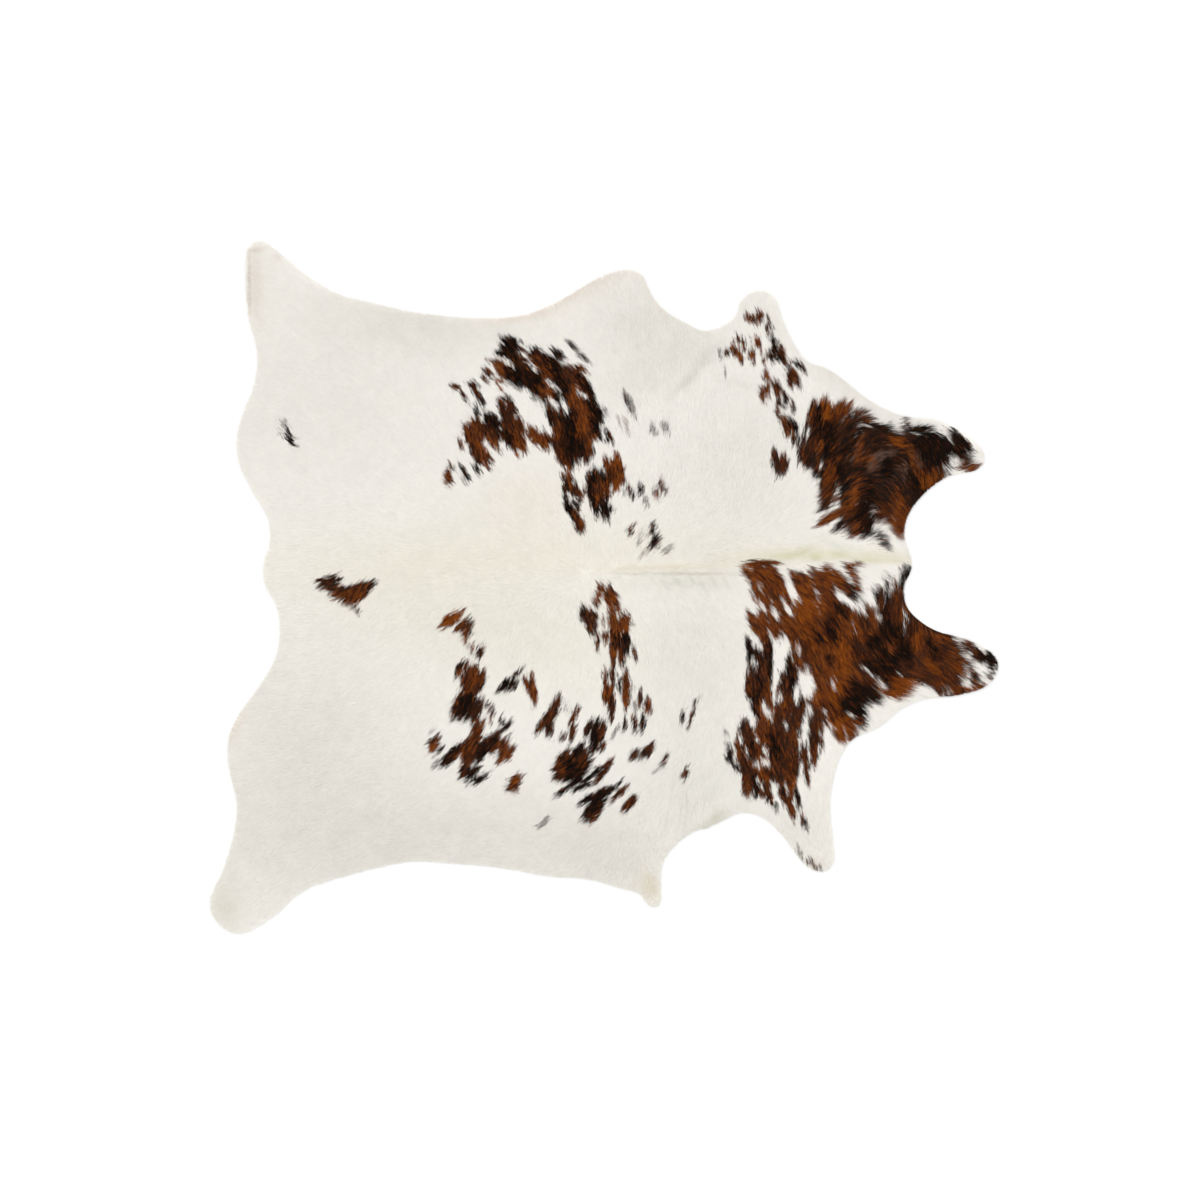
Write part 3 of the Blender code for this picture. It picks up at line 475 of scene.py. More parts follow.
# How the hair is combed: places, across and down in pixels, and the way the tips point there, in degrees from
# the spine's direction to the neck, with 90 to the upper flank.
COMB = {
    "upper rump and flank": [
        (255, 300, 150), (300, 330, 145), (350, 350, 140), (300, 450, 160), (400, 480, 150), (290, 432, 125),
        (450, 400, 125), (260, 400, 165), (350, 420, 150), (400, 350, 132), (290, 520, 172), (420, 540, 168),
    ],
    "upper arch": [
        (510, 360, 130), (540, 370, 130), (575, 350, 136), (570, 420, 107), (500, 440, 114), (475, 440, 113),
        (600, 420, 113), (615, 470, 95), (570, 500, 108), (600, 490, 98), (660, 490, 70), (650, 540, 58),
        (668, 550, 35), (530, 300, 110), (620, 300, 100), (480, 520, 140), (540, 540, 140), (600, 548, 100),
    ],
    "upper shoulder and foreleg": [
        (700, 350, 95), (700, 450, 88), (740, 500, 75), (755, 320, 105), (760, 300, 95), (790, 370, 120),
        (785, 420, 119), (780, 465, 95), (700, 520, 60), (780, 520, 40), (820, 540, 15), (880, 545, 5),
        (720, 540, 35),
    ],
    "upper cheek": [
        (830, 410, 85), (845, 410, 60), (850, 415, 45), (865, 425, -20), (895, 445, -10), (850, 450, 50),
        (870, 460, 35), (830, 480, 60), (805, 460, 70), (825, 520, 33), (850, 525, 45), (865, 530, 70),
        (885, 545, -60), (880, 500, -50), (900, 495, -55), (915, 450, -85), (930, 450, -75), (955, 440, -55),
        (965, 467, 20), (930, 480, -80), (870, 405, 60), (920, 425, 30),
    ],
    "spine": [
        (300, 565, 180), (400, 565, 180), (500, 565, 180), (560, 565, 170), (620, 560, 90), (680, 560, 45),
        (740, 556, 10), (820, 553, 5), (890, 553, 0), (640, 565, 60), (700, 563, 30), (740, 564, 0),
        (780, 562, -15), (850, 560, -20), (620, 578, -55), (650, 578, -50), (690, 577, -50), (735, 576, -50),
    ],
    "lower shoulder and neck": [
        (605, 590, -60), (590, 620, -70), (612, 640, -88), (625, 690, -88), (690, 590, -50), (720, 600, -50),
        (750, 580, -50), (765, 590, -60), (790, 585, -60), (800, 600, -50), (820, 600, -45), (835, 650, -75),
        (760, 650, -85), (780, 700, -88), (850, 620, -65), (870, 640, -60), (880, 660, -50), (900, 675, -20),
        (905, 690, -5), (870, 690, -35), (860, 720, -30), (845, 735, -55), (815, 740, -85), (800, 760, -75),
        (760, 780, -75), (790, 800, -70), (745, 790, -85), (730, 755, -65), (890, 600, -90), (905, 570, -105),
        (680, 660, -75), (700, 720, -95), (660, 620, -65),
    ],
    "lower cheek": [
        (915, 635, -100), (900, 650, -30), (950, 640, -20), (960, 665, -20), (945, 685, -60), (965, 690, -30),
        (985, 665, -30),
    ],
    "lower flank": [
        (560, 770, -144), (600, 775, -140), (600, 800, -138), (590, 735, -115), (570, 725, -110),
        (550, 715, -112), (508, 685, -130), (531, 690, -80), (470, 690, -112), (465, 710, -118),
        (470, 750, -125), (450, 760, -140), (500, 745, -130), (445, 620, -135), (480, 650, -115),
        (433, 745, -130), (515, 785, -150), (545, 822, -150), (645, 750, -130), (660, 765, -140),
        (692, 715, -110), (685, 775, -120), (540, 620, -120), (650, 840, -110), (500, 850, -165),
    ],
    "lower rump and legs": [
        (325, 588, -150), (362, 597, -125), (350, 750, -160), (330, 850, -150), (655, 890, -90),
        (810, 820, -85), (815, 855, -80), (250, 700, -175), (230, 900, -140), (280, 640, -170),
        (400, 680, -150), (420, 830, -165), (700, 790, -100), (690, 820, -70), (720, 825, -140),
    ],
}

# Soft colour in the white coat, and shade painted into its creases, parting, crest, whorl and wrinkles. Each
# row is the place of a patch, across and down, its reach along and across its heading, in pixels, the heading
# in degrees, the colour that it leans to and how far.
Tint = namedtuple("Tint", "x y long wide heading colour strength")
TINTS_AND_PAINTED_SHADE = [
    Tint(520, 555, 260, 30, 2, (244, 239, 220), 0.40),  # cream along the spine
    Tint(520, 510, 90, 40, 10, (242, 237, 223), 0.25),
    Tint(430, 610, 130, 50, -10, (238, 234, 216), 0.35),
    Tint(560, 640, 110, 60, -10, (237, 234, 218), 0.35),
    Tint(525, 500, 34, 26, 0, (245, 234, 219), 0.25),
    Tint(665, 567, 66, 4, 1, (242, 233, 209), 0.50),  # the parting, and the shadow below it
    Tint(690, 574, 44, 1.6, 0, (196, 188, 168), 0.55),
    Tint(628, 574, 18, 1.4, 0, (214, 206, 186), 0.40),
    Tint(690, 583, 48, 8, 0, (223, 222, 210), 0.38),
    Tint(652, 580, 6, 2.0, -50, (208, 206, 194), 0.24),
    Tint(664, 583, 7, 1.8, -56, (206, 204, 192), 0.22),
    Tint(677, 581, 7, 2.0, -52, (204, 203, 190), 0.28),
    Tint(692, 580, 7, 1.7, -58, (200, 199, 186), 0.34),
    Tint(703, 586, 9, 2.4, -57, (204, 203, 190), 0.26),
    Tint(713, 580, 7, 1.8, -62, (200, 199, 186), 0.34),
    Tint(726, 583, 9, 2.0, -60, (202, 201, 188), 0.32),
    Tint(818, 555, 56, 6.5, 1, (231, 225, 192), 0.48),  # the crest: cream hair, and olive patches that are partly its colour and partly painted shade between its tufts
    Tint(783, 557, 9, 3.2, 8, (214, 209, 164), 0.36),
    Tint(801, 552, 13, 3.6, 22, (213, 209, 162), 0.42),
    Tint(817, 557, 9, 3.4, -6, (216, 210, 158), 0.38),
    Tint(840, 555, 13, 3, -14, (214, 210, 168), 0.36),
    Tint(836, 545, 20, 4.5, -20, (222, 223, 210), 0.30),
    Tint(866, 560, 12, 2.6, -4, (220, 213, 164), 0.36),
    Tint(894, 561, 14, 2.4, 2, (222, 216, 172), 0.34),
    Tint(884, 557, 28, 6, 0, (229, 224, 194), 0.45),
    Tint(760, 557, 50, 8, 5, (234, 228, 200), 0.40),
    Tint(685, 383, 22, 5, 47, (204, 201, 192), 0.32),  # painted shade in the crease from the shoulder to the upper foreleg
    Tint(708, 357, 16, 7, 45, (208, 205, 196), 0.30),
    Tint(738, 385, 18, 4, -15, (216, 213, 202), 0.25),
    Tint(740, 470, 80, 80, 0, (231, 228, 220), 0.40),  # shoulders
    Tint(700, 660, 60, 80, 0, (230, 227, 218), 0.45),
    Tint(320, 400, 120, 100, 0, (234, 231, 224), 0.30),  # upper rump
    Tint(850, 375, 90, 20, -35, (226, 222, 213), 0.45),
    Tint(420, 325, 90, 28, -5, (224, 221, 212), 0.38),
    Tint(640, 320, 50, 40, 20, (224, 221, 213), 0.38),
    Tint(665, 360, 70, 26, 30, (224, 221, 210), 0.35),
    Tint(310, 760, 110, 110, 0, (228, 225, 216), 0.50),
    Tint(420, 845, 230, 60, 3, (227, 223, 214), 0.50),
    Tint(610, 860, 60, 40, -10, (222, 218, 208), 0.45),
    Tint(700, 790, 60, 60, 0, (227, 225, 215), 0.40),
    Tint(800, 840, 40, 50, -50, (228, 225, 215), 0.40),
    Tint(255, 286, 8, 40, 0, (229, 217, 204), 0.40),  # thin hair over skin along the upper hock's edge
    Tint(249, 286, 1.5, 36, 0, (188, 164, 146), 0.40),
    Tint(256, 250, 10, 2, 10, (218, 204, 186), 0.40),
    Tint(277, 257, 5, 3, -38, (228, 214, 200), 0.30),
    Tint(515, 318, 34, 5, 8, (234, 215, 198), 0.30),
    Tint(560, 300, 30, 6, 27, (236, 218, 202), 0.28),
    Tint(590, 283, 70, 14, 26, (232, 222, 208), 0.35),
    Tint(655, 300, 30, 4, -60, (228, 217, 200), 0.25),
    Tint(236, 728, 18, 5, 62, (234, 214, 196), 0.30),
    Tint(225, 905, 14, 22, 10, (212, 208, 186), 0.32),
    Tint(650, 887, 10, 15, 20, (222, 208, 174), 0.45),
    Tint(700, 835, 30, 6, 30, (206, 202, 188), 0.34),  # painted shade of the elbow's whorl
    Tint(714, 819, 12, 5, 40, (194, 188, 160), 0.32),
    Tint(687, 802, 14, 1.1, 94, (202, 198, 186), 0.26),  # painted shade of the fine wrinkles behind it
    Tint(685, 823, 12, 1.0, 82, (200, 196, 184), 0.30),
    Tint(680, 818, 16, 0.8, 82, (204, 200, 188), 0.28),
    Tint(667, 818, 14, 1.0, 78, (206, 202, 192), 0.26),
    Tint(695, 806, 13, 1.0, 74, (204, 200, 188), 0.26),
    Tint(704, 806, 12, 0.9, 80, (206, 202, 190), 0.24),
    Tint(672, 790, 12, 1.0, 84, (208, 204, 194), 0.22),
    Tint(812, 866, 12, 6, 20, (222, 210, 194), 0.35),
]

# Creases and ridges too fine for the hide's own solid: where each starts and ends, in pixels, how wide it is
# and its height, in metres. Those below nothing are troughs.
Crease = namedtuple("Crease", "x0 y0 x1 y1 width height")
CREASES = [
    Crease(668, 400, 703, 362, 7, -0.0022),  # from the shoulder to the upper foreleg
    Crease(703, 362, 717, 346, 7, -0.0012),
    Crease(660, 414, 690, 393, 6, 0.0014),
    Crease(690, 393, 728, 386, 8, 0.0010),
    Crease(726, 380, 752, 390, 6, -0.0008),
    Crease(328, 475, 372, 452, 5, 0.0010),
    Crease(350, 484, 400, 455, 5, -0.0010),
    Crease(372, 480, 415, 448, 5, 0.0010),
    Crease(262, 330, 330, 352, 8, 0.0010),
    Crease(300, 300, 330, 385, 9, 0.0010),
    Crease(345, 320, 352, 362, 6, 0.0008),
    Crease(560, 563, 640, 567, 5, 0.0010),
    Crease(612, 574, 742, 573, 3, -0.0020),
    Crease(612, 566, 742, 563, 4, 0.0018),
    Crease(742, 561, 806, 552, 6, 0.0026),
    Crease(800, 552, 908, 561, 6, 0.0026),
    Crease(742, 570, 905, 569, 4, -0.0010),
    Crease(642, 734, 680, 742, 5, 0.0010),
    Crease(300, 568, 560, 564, 6, 0.0008),
    Crease(680, 765, 694, 838, 4, -0.0010),
    Crease(700, 762, 711, 830, 4, -0.0010),
    Crease(690, 764, 702, 834, 5, 0.0010),
    Crease(700, 832, 735, 806, 8, 0.0012),
    Crease(302, 640, 330, 741, 7, 0.0008),
    Crease(340, 630, 372, 735, 7, -0.0006),
    Crease(390, 760, 430, 800, 8, 0.0008),
    Crease(255, 800, 330, 772, 9, 0.0008),
]

# Where the cut is ragged: the place in pixels, its reach and how far the hair hangs over there, in metres
Ragged = namedtuple("Ragged", "x y reach overhang")
RAGGED = [
    Ragged(248, 262, 22, 0.010),
    Ragged(250, 300, 26, 0.010),
    Ragged(268, 560, 20, 0.007),
    Ragged(270, 590, 24, 0.009),
    Ragged(216, 888, 18, 0.009),
    Ragged(716, 822, 26, 0.009),
    Ragged(905, 540, 16, 0.008),
]


def metres(x, y):
    """The place under a pixel of the photograph."""
    return (x - MIDDLE[0]) * PIXEL, (MIDDLE[1] - y) * PIXEL


def pixels(places):
    """The pixels of the photograph over some places."""
    return places[:, :2] * (1 / PIXEL, -1 / PIXEL) + MIDDLE


def column(rows, name):
    """One named column of a table."""
    return np.array([getattr(row, name) for row in rows])


def light(colour):
    """A colour as the eye sees it, 0 to 255, as amounts of light, by the sRGB curve."""
    seen = np.asarray(colour, float) / 255
    return np.where(seen <= 0.04045, seen / 12.92, ((seen + 0.055) / 1.055) ** 2.4)


def unit(degrees):
    """Directions in the floor's plane."""
    turn = np.radians(degrees)
    return np.stack([np.cos(turn), np.sin(turn)], axis=-1)


def left_of(directions):
    """The directions a quarter turn anticlockwise of these."""
    return np.column_stack([-directions[:, 1], directions[:, 0]])


def turned(directions, radians):
    """Unit vectors turned anticlockwise."""
    return directions * np.cos(radians)[:, None] + left_of(directions) * np.sin(radians)[:, None]


def between(table, cell, share):
    """Values between a table's entries, by each place's cell and its share of the way across it."""
    (col, row), (right, up) = cell.T, share.T
    low = table[row, col] * (1 - right) + table[row, col + 1] * right
    high = table[row + 1, col] * (1 - right) + table[row + 1, col + 1] * right
    return low * (1 - up) + high * up


def soft_noise(places, noise):
    """Smooth noise from -1 to 1."""
    lattice = np.random.default_rng(noise.seed).uniform(-1, 1, (NOISE_CELLS + 1, NOISE_CELLS + 1))
    at = np.asarray(places)[:, :2] / noise.size + NOISE_START
    cell = np.floor(at).astype(int)
    share = at - cell
    return between(lattice, cell % NOISE_CELLS, share * share * (3 - 2 * share))


def along_line(spots, start, end):
    """Share of the way along a line that is nearest each spot, and how far the spot is from it."""
    start, side = np.array(start, float), np.subtract(end, start).astype(float)
    off = spots - start
    share = np.clip(off @ side / (side @ side), 0, 1)
    return share, np.linalg.norm(off - share[:, None] * side, axis=1)


# --- the hide's outline and heights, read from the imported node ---


def packed_faces():
    """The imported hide's corners, welded, and its faces."""
    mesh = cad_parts[HIDE].data
    corners = np.array([v.co for v in mesh.vertices])
    places, number = np.unique(np.round(corners, WELD), axis=0, return_inverse=True)
    number = number.ravel()
    return places, [[int(number[i]) for i in p.vertices] for p in mesh.polygons]


def packed_outline(places, faces):
    """The loop round the flat underside: the sides that only one of its faces has, chained."""
    flat = {i for i, z in enumerate(places[:, 2]) if z < UNDERSIDE}
    after = {}
    for face in faces:
        if not flat.issuperset(face):
            continue
        for b, a in zip(face, face[1:] + face[:1]):
            if after.get(b, {}).pop(a, None) is None:
                after.setdefault(a, {})[b] = True
    loop = [next(a for a, nexts in after.items() if nexts)]
    while len(loop) < 2 or loop[-1] != loop[0]:
        loop.append(next(iter(after[loop[-1]])))
    return places[loop[:-1], :2]


def smooth_loop(loop, step):
    """A smooth closed curve through a loop's points, set again about step apart."""
    parts = np.linspace(0, 1, CURVE_PARTS, endpoint=False)[None, :, None]
    before, here, ahead, later = (np.roll(loop, shift, axis=0)[:, None] for shift in (1, 0, -1, -2))
    bend = 2 * before - 5 * here + 4 * ahead - later + parts * (3 * here - before - 3 * ahead + later)
    curve = (here + 0.5 * parts * (ahead - before + parts * bend)).reshape(-1, 2)
    closed = np.vstack([curve, curve[:1]])
    along = np.concatenate([[0], np.cumsum(np.linalg.norm(np.diff(closed, axis=0), axis=1))])
    at = np.linspace(0, along[-1], round(along[-1] / step), endpoint=False)
    return np.column_stack([np.interp(at, along, closed[:, k]) for k in range(2)])


def area_inside(loop):
    """The loop's area, below nothing if it runs clockwise."""
    return np.sum(loop[:, 0] * np.roll(loop[:, 1], -1) - loop[:, 1] * np.roll(loop[:, 0], -1)) / 2


def inset(loop, distance):
    """The loop drawn in, square to its own run."""
    run = np.roll(loop, -2, axis=0) - np.roll(loop, 2, axis=0)
    inward = left_of(run) / np.linalg.norm(run, axis=1)[:, None]
    return loop + inward * distance * np.sign(area_inside(loop))


def depth_inside(places, loop):
    """How far each place is inside the loop, below nothing outside it."""
    found = np.empty(len(places))
    side = np.roll(loop, -1, axis=0) - loop
    for first in range(0, len(places), BATCH):
        part = places[first : first + BATCH]
        off = part[:, None] - loop[None]
        share = np.clip((off * side).sum(axis=2) / (side**2).sum(axis=1), 0, 1)
        gap = np.linalg.norm(off - share[:, :, None] * side, axis=2).min(axis=1)
        starts_below = loop[:, 1] <= part[:, None, 1]
        ends_below = loop[:, 1] + side[:, 1] <= part[:, None, 1]
        on_left = side[:, 0] * off[:, :, 1] - side[:, 1] * off[:, :, 0] > 0
        upward = starts_below & ~ends_below & on_left
        downward = ~starts_below & ends_below & ~on_left
        inside = upward.sum(axis=1) != downward.sum(axis=1)
        found[first : first + BATCH] = np.where(inside, gap, -gap)
    return found


class Survey:
    """The hide's height and the depth inside its outline, read once on a grid and then looked up."""

    def __init__(self, places, faces, loop):
        tree = BVHTree.FromPolygons([Vector(p) for p in places], faces)
        margin = SURVEY_MARGIN * SURVEY
        self.low = loop.min(axis=0) - margin
        self.count = np.ceil((loop.max(axis=0) + margin - self.low) / SURVEY).astype(int) + 1
        rows, cols = np.mgrid[0 : self.count[1], 0 : self.count[0]]
        spots = np.column_stack([cols.ravel(), rows.ravel()]) * SURVEY + self.low
        depths = depth_inside(spots, loop)
        down = Vector((0, 0, -1))
        heights = []
        for (x, y), depth in zip(spots, depths):
            hit = tree.ray_cast((x, y, SOUNDING), down)[0] if depth > 0 else None
            heights.append(hit.z if hit else HIDE_RIM)
        self.depth = depths.reshape(self.count[::-1])
        self.height = np.array(heights).reshape(self.count[::-1])

    def look_up(self, table, places):
        """What one of the two tables says at some places."""
        at = np.clip((places[:, :2] - self.low) / SURVEY, 0, self.count - 1 - HARDLY)
        cell = at.astype(int)
        return between(table, cell, at - cell)

    def depth_at(self, places):
        """Depth inside the outline, below nothing outside it."""
        return self.look_up(self.depth, places)

    def skin_at(self, places):
        """Height of the skin's hair side."""
        height = SKIN_RIM + SKIN_SHARE * (self.look_up(self.height, places) - HIDE_RIM)
        spots = pixels(places)
        fade = np.clip(self.depth_at(places) / RELIEF_FADE, 0, 1)
        least, gain = CREASE_ENDS
        for crease in CREASES:
            share, gap = along_line(spots, (crease.x0, crease.y0), (crease.x1, crease.y1))
            ends = np.clip(gain * np.minimum(share, 1 - share) + least, 0, 1)
            height = height + fade * ends * crease.height * np.exp(-((gap / crease.width) ** 2))
        height = height + fade * SWELL * soft_noise(places, SWELL_LUMPS)
        return np.maximum(height, SKIN_RIM * SKIN_LEAST)


# --- the markings and colours ---


def tones_at(spots, fray):
    """Which tone each spot has. fray moves the strokes' edges out or in there, in pixels."""
    order = np.argsort(spots[:, 0])
    x, y = spots[order].T
    fray = fray[order]
    found = np.zeros(len(spots), int)
    letters = [tone.letter for tone in TONES]
    lost, power = TAPER
    for x0, y0, x1, y1, width, letter in (row for rows in MARKINGS.values() for row in rows):
        reach = width / 2 + MOST_FRAY
        first, last = np.searchsorted(x, (min(x0, x1) - reach, max(x0, x1) + reach))
        level = (y[first:last] > min(y0, y1) - reach) & (y[first:last] < max(y0, y1) + reach)
        near = first + np.flatnonzero(level)
        share, gap = along_line(np.column_stack([x[near], y[near]]), (x0, y0), (x1, y1))
        half = width / 2 * (1 - lost * np.abs(2 * share - 1) ** power)
        found[near[gap < half + fray[near]]] = letters.index(letter)
    tones = np.empty_like(found)
    tones[order] = found
    return tones


def white_at(places):
    """The white coat's colour, its cream, grey and thin patches, and the shade painted into its creases and
    crest.
    """
    spots = pixels(places)
    found = np.tile(light(WHITE_HAIR), (len(places), 1))
    patchy = 1 + TINT_PATCHES * soft_noise(places, TINT_LUMPS)
    for tint in TINTS_AND_PAINTED_SHADE:
        turn = unit(-tint.heading)
        off = spots - (tint.x, tint.y)
        lengthwise, crosswise = off @ turn, off @ (-turn[1], turn[0])
        nearness = np.exp(-((lengthwise / tint.long) ** 2) - (crosswise / tint.wide) ** 2)
        found += (patchy * tint.strength * nearness)[:, None] * (light(tint.colour) - found)
    return found


def ramp(places):
    """The coloured hair's colour by its place on the ramp."""
    colours = light(column(HAIR_RAMP, "colour"))
    return np.column_stack([np.interp(places, column(HAIR_RAMP, "at"), colours[:, k]) for k in range(3)])


def comb_at(places):
    """The way the hair's tips point, as unit vectors."""
    spots = pixels(places)
    total = np.zeros((len(places), 2))
    hold, power = COMB_BLEND
    for x, y, heading in (row for rows in COMB.values() for row in rows):
        weight = (np.sum((spots - (x, y)) ** 2, axis=1) + hold**2) ** -power
        total += weight[:, None] * unit(heading)
    return total / np.linalg.norm(total, axis=1)[:, None]


# --- meshes ---


def link(thing):
    """Put an object in the scene."""
    bpy.context.scene.collection.objects.link(thing)


def mesh_object(name, corners, faces, colours, material):
    """An object of triangles, with a colour for each corner and a plan of itself as its texture map."""
    mesh = bpy.data.meshes.new(name)
    mesh.vertices.add(len(corners))
    mesh.vertices.foreach_set("co", corners.astype(np.float32).ravel())
    mesh.loops.add(faces.size)
    mesh.loops.foreach_set("vertex_index", faces.astype(np.int32).ravel())
    mesh.polygons.add(len(faces))
    mesh.polygons.foreach_set("loop_start", np.arange(0, faces.size, 3, dtype=np.int32))
    mesh.update(calc_edges=True)
    mesh.validate()
    shown = mesh.color_attributes.new("coat", "FLOAT_COLOR", "POINT")
    opaque = np.column_stack([colours, np.ones(len(colours))])
    shown.data.foreach_set("color", opaque.astype(np.float32).ravel())
    low, high = corners[:, :2].min(axis=0), corners[:, :2].max(axis=0)
    plan = (corners[:, :2] - low) / (high - low) * (1 - 2 * PLAN_EDGE) + PLAN_EDGE
    uv = mesh.uv_layers.new(name="OFBake")
    uv.data.foreach_set("uv", plan[faces.ravel()].astype(np.float32).ravel())
    mesh.shade_smooth()
    mesh.materials.append(material)
    piece = bpy.data.objects.new(name, mesh)
    link(piece)
    return piece


def points_inside(loop, grid):
    """Points of a staggered grid inside the loop."""
    low, high = loop.min(axis=0), loop.max(axis=0)
    cols = np.arange(low[0], high[0], grid.step)
    rows = np.arange(low[1], high[1], grid.step * math.sqrt(3) / 2)
    found = np.array([(x + grid.step / 2 * (i % 2), y) for i, y in enumerate(rows) for x in cols])
    return found[depth_inside(found, loop) > grid.step * grid.room]


def triangulated(loop, inner):
    """The loop's inside cut into triangles whose corners are the loop's points and the inner ones."""
    points = [Vector(p) for p in np.vstack([loop, inner])]
    sides = [(i, (i + 1) % len(loop)) for i in range(len(loop))]
    found = delaunay_2d_cdt(points, sides, [], ONLY_INSIDE, SAME_PLACE)
    return np.array([tuple(p) for p in found[0]]), np.array(found[2])


def skin(survey, loop):
    """The tanned skin: a closed sheet with a flat suede underside, a cut rim and the hide's gentle swells."""
    rim = inset(loop, SKIN_INSET)
    brim = inset(loop, SKIN_INSET + CUT_ROUNDING)
    top, top_faces = triangulated(brim, points_inside(brim, SKIN_GRID))
    base, base_faces = triangulated(rim, points_inside(rim, SUEDE_GRID))
    upper = np.column_stack([top, survey.skin_at(top)])
    lower = np.column_stack([base, np.zeros(len(base))])
    shoulder = np.column_stack([rim, survey.skin_at(brim) - CUT_ROUNDING])
    corners = np.vstack([upper, lower, shoulder])
    at_base, at_shoulder = len(upper), len(upper) + len(lower)
    here = np.arange(len(rim))
    ahead = np.roll(here, -1)
    walls = []
    for below, above in ((at_base, at_shoulder), (at_shoulder, 0)):
        walls += [
            np.column_stack([below + here, below + ahead, above + ahead]),
            np.column_stack([below + here, above + ahead, above + here]),
        ]
    faces = np.vstack([top_faces, base_faces[:, ::-1] + at_base, *walls])
    tones = tones_at(pixels(corners), np.zeros(len(corners)))
    coloured = column(TONES, "share")[tones] == 1
    under_coloured = ramp(column(TONES, "shade")[tones]) * UNDER_HAIR
    hairy = np.where(coloured[:, None], under_coloured, white_at(corners))
    number = np.arange(len(corners))
    haired = (number < at_base) | (number >= at_shoulder)
    colours = np.where(haired[:, None], hairy, light(SKIN_TAN))
    return mesh_object("hide_skin", corners, faces, colours, skin_material())


def tufts(survey, loop, rng):
    """The tufts' middles and the way they are combed."""
    step = math.sqrt(TUFT_AREA)
    low, high = loop.min(axis=0), loop.max(axis=0)
    cols, rows = np.meshgrid(np.arange(low[0], high[0], step), np.arange(low[1], high[1], step))
    middles = np.column_stack([cols.ravel(), rows.ravel()])
    middles[:, 0] += np.where(rows.ravel() / step % 2 < 1, 0.5, 0) * step
    middles += rng.uniform(-TUFT_STRAY, TUFT_STRAY, middles.shape) * step
    middles = rng.permutation(middles[survey.depth_at(middles) > TUFT_DEPTH])
    swirl = SWIRL[0] * soft_noise(middles, SWIRL_LUMPS) + SWIRL[1] * rng.standard_normal(len(middles))
    return middles, turned(comb_at(middles), swirl)


def varied(middle, spread, tuft, rng, *wide):
    """Random amounts about a middle one, which differ from tuft to tuft and from strand to strand."""
    by_tuft = middle + spread[0] * rng.standard_normal((tuft.max() + 1, *wide))[tuft]
    return by_tuft + spread[1] * rng.standard_normal((len(tuft), *wide))


def sown(survey, middles, combed, rng):
    """Each strand's tuft and root, and how far its root lies to the left of its tuft's line."""
    count = int(STRANDS * SPARE)
    tuft, turn = np.arange(count) % len(middles), np.arange(count) // len(middles)
    spread = np.sqrt((turn + rng.uniform(0, 1, count)) / (turn[-1] + 1))
    around = rng.uniform(0, 2 * math.pi, len(middles))[tuft] + GOLDEN_TURN * turn
    around = around + ROOT_TURN * rng.standard_normal(count)
    lengthwise = spread * np.cos(around) * TUFT_REACH[0]
    crosswise = spread * np.sin(around) * TUFT_REACH[1]
    ahead = combed[tuft]
    roots = middles[tuft] + ahead * lengthwise[:, None] + left_of(ahead) * crosswise[:, None]
    kept = np.flatnonzero(survey.depth_at(roots) > SKIN_INSET)[:STRANDS]
    return tuft[kept], roots[kept], crosswise[kept]


def grown(survey, tuft, roots, heading, rng):
    """Each strand's length, cut down where its tip would reach too far past the outline."""
    length = np.interp(roots[:, 0], column(COAT, "along"), column(COAT, "length"))
    length = length * (1 - SHORTER * np.abs(roots[:, 1]))
    length = length * np.clip(varied(1, LENGTH_SPREAD, tuft, rng), *LENGTH_LIMITS)
    depth = survey.depth_at(roots)
    tip_depth = survey.depth_at(roots + heading * length[:, None])
    overhang = np.full(len(roots), OVERHANG)
    spots = pixels(roots)
    for place in RAGGED:
        gap = np.linalg.norm(spots - (place.x, place.y), axis=1)
        overhang += (place.overhang - OVERHANG) * np.exp(-((gap / place.reach) ** 2))
    overhang = overhang * rng.uniform(0, 1, len(roots))
    trimmed = length * (depth + overhang) / np.maximum(depth - tip_depth, HARDLY)
    return np.maximum(np.where(tip_depth < -overhang, trimmed, length), SHORTEST)


def strands(survey, loop):
    """The corners of every strand, left and right of its root and at its tip, and their colours."""
    rng = np.random.default_rng(SEED)
    middles, combed = tufts(survey, loop, rng)
    tuft, roots, crosswise = sown(survey, middles, combed, rng)
    count = len(roots)
    heading = turned(combed[tuft], STRAND_TURN * rng.standard_normal(count))
    beside = left_of(heading)
    length = grown(survey, tuft, roots, heading, rng)
    tips = roots + heading * length[:, None] - beside * (GATHER * crosswise)[:, None]
    shown = roots + heading * (length * SHOWN[0])[:, None] - beside * (SHOWN[1] * GATHER * crosswise)[:, None]

    at_edge = np.clip(survey.depth_at(roots) / EDGE_FADE, 0, 1)
    tuft_lift = np.clip(1 + LIFT_SPREAD * rng.standard_normal(len(middles)), *LIFT_LIMITS)
    lift = rng.uniform(*LIFT, count) * tuft_lift[tuft] * (EDGE_LIFT + (1 - EDGE_LIFT) * at_edge)
    root_z = survey.skin_at(roots) + ROOT_RISE * rng.uniform(0, 1, count) * at_edge
    tip_z = survey.skin_at(tips) + lift - DROOP * np.clip(-survey.depth_at(tips), 0, DROOP_REACH)
    tip_z = np.maximum(LOWEST_TIP, tip_z)

    half = rng.uniform(*STRAND_WIDTH, count) / 2
    roll = rng.uniform(-ROLL, ROLL, count)
    aside, upward = beside * (half * np.cos(roll))[:, None], half * np.sin(roll)
    corners = np.empty((count, 3, 3))
    corners[:, 0] = np.column_stack([roots + aside, root_z + upward])
    corners[:, 1] = np.column_stack([roots - aside, root_z - upward])
    corners[:, 2] = np.column_stack([tips, tip_z])
    return corners, strand_colours((roots, shown, tips), middles, combed, tuft, rng)


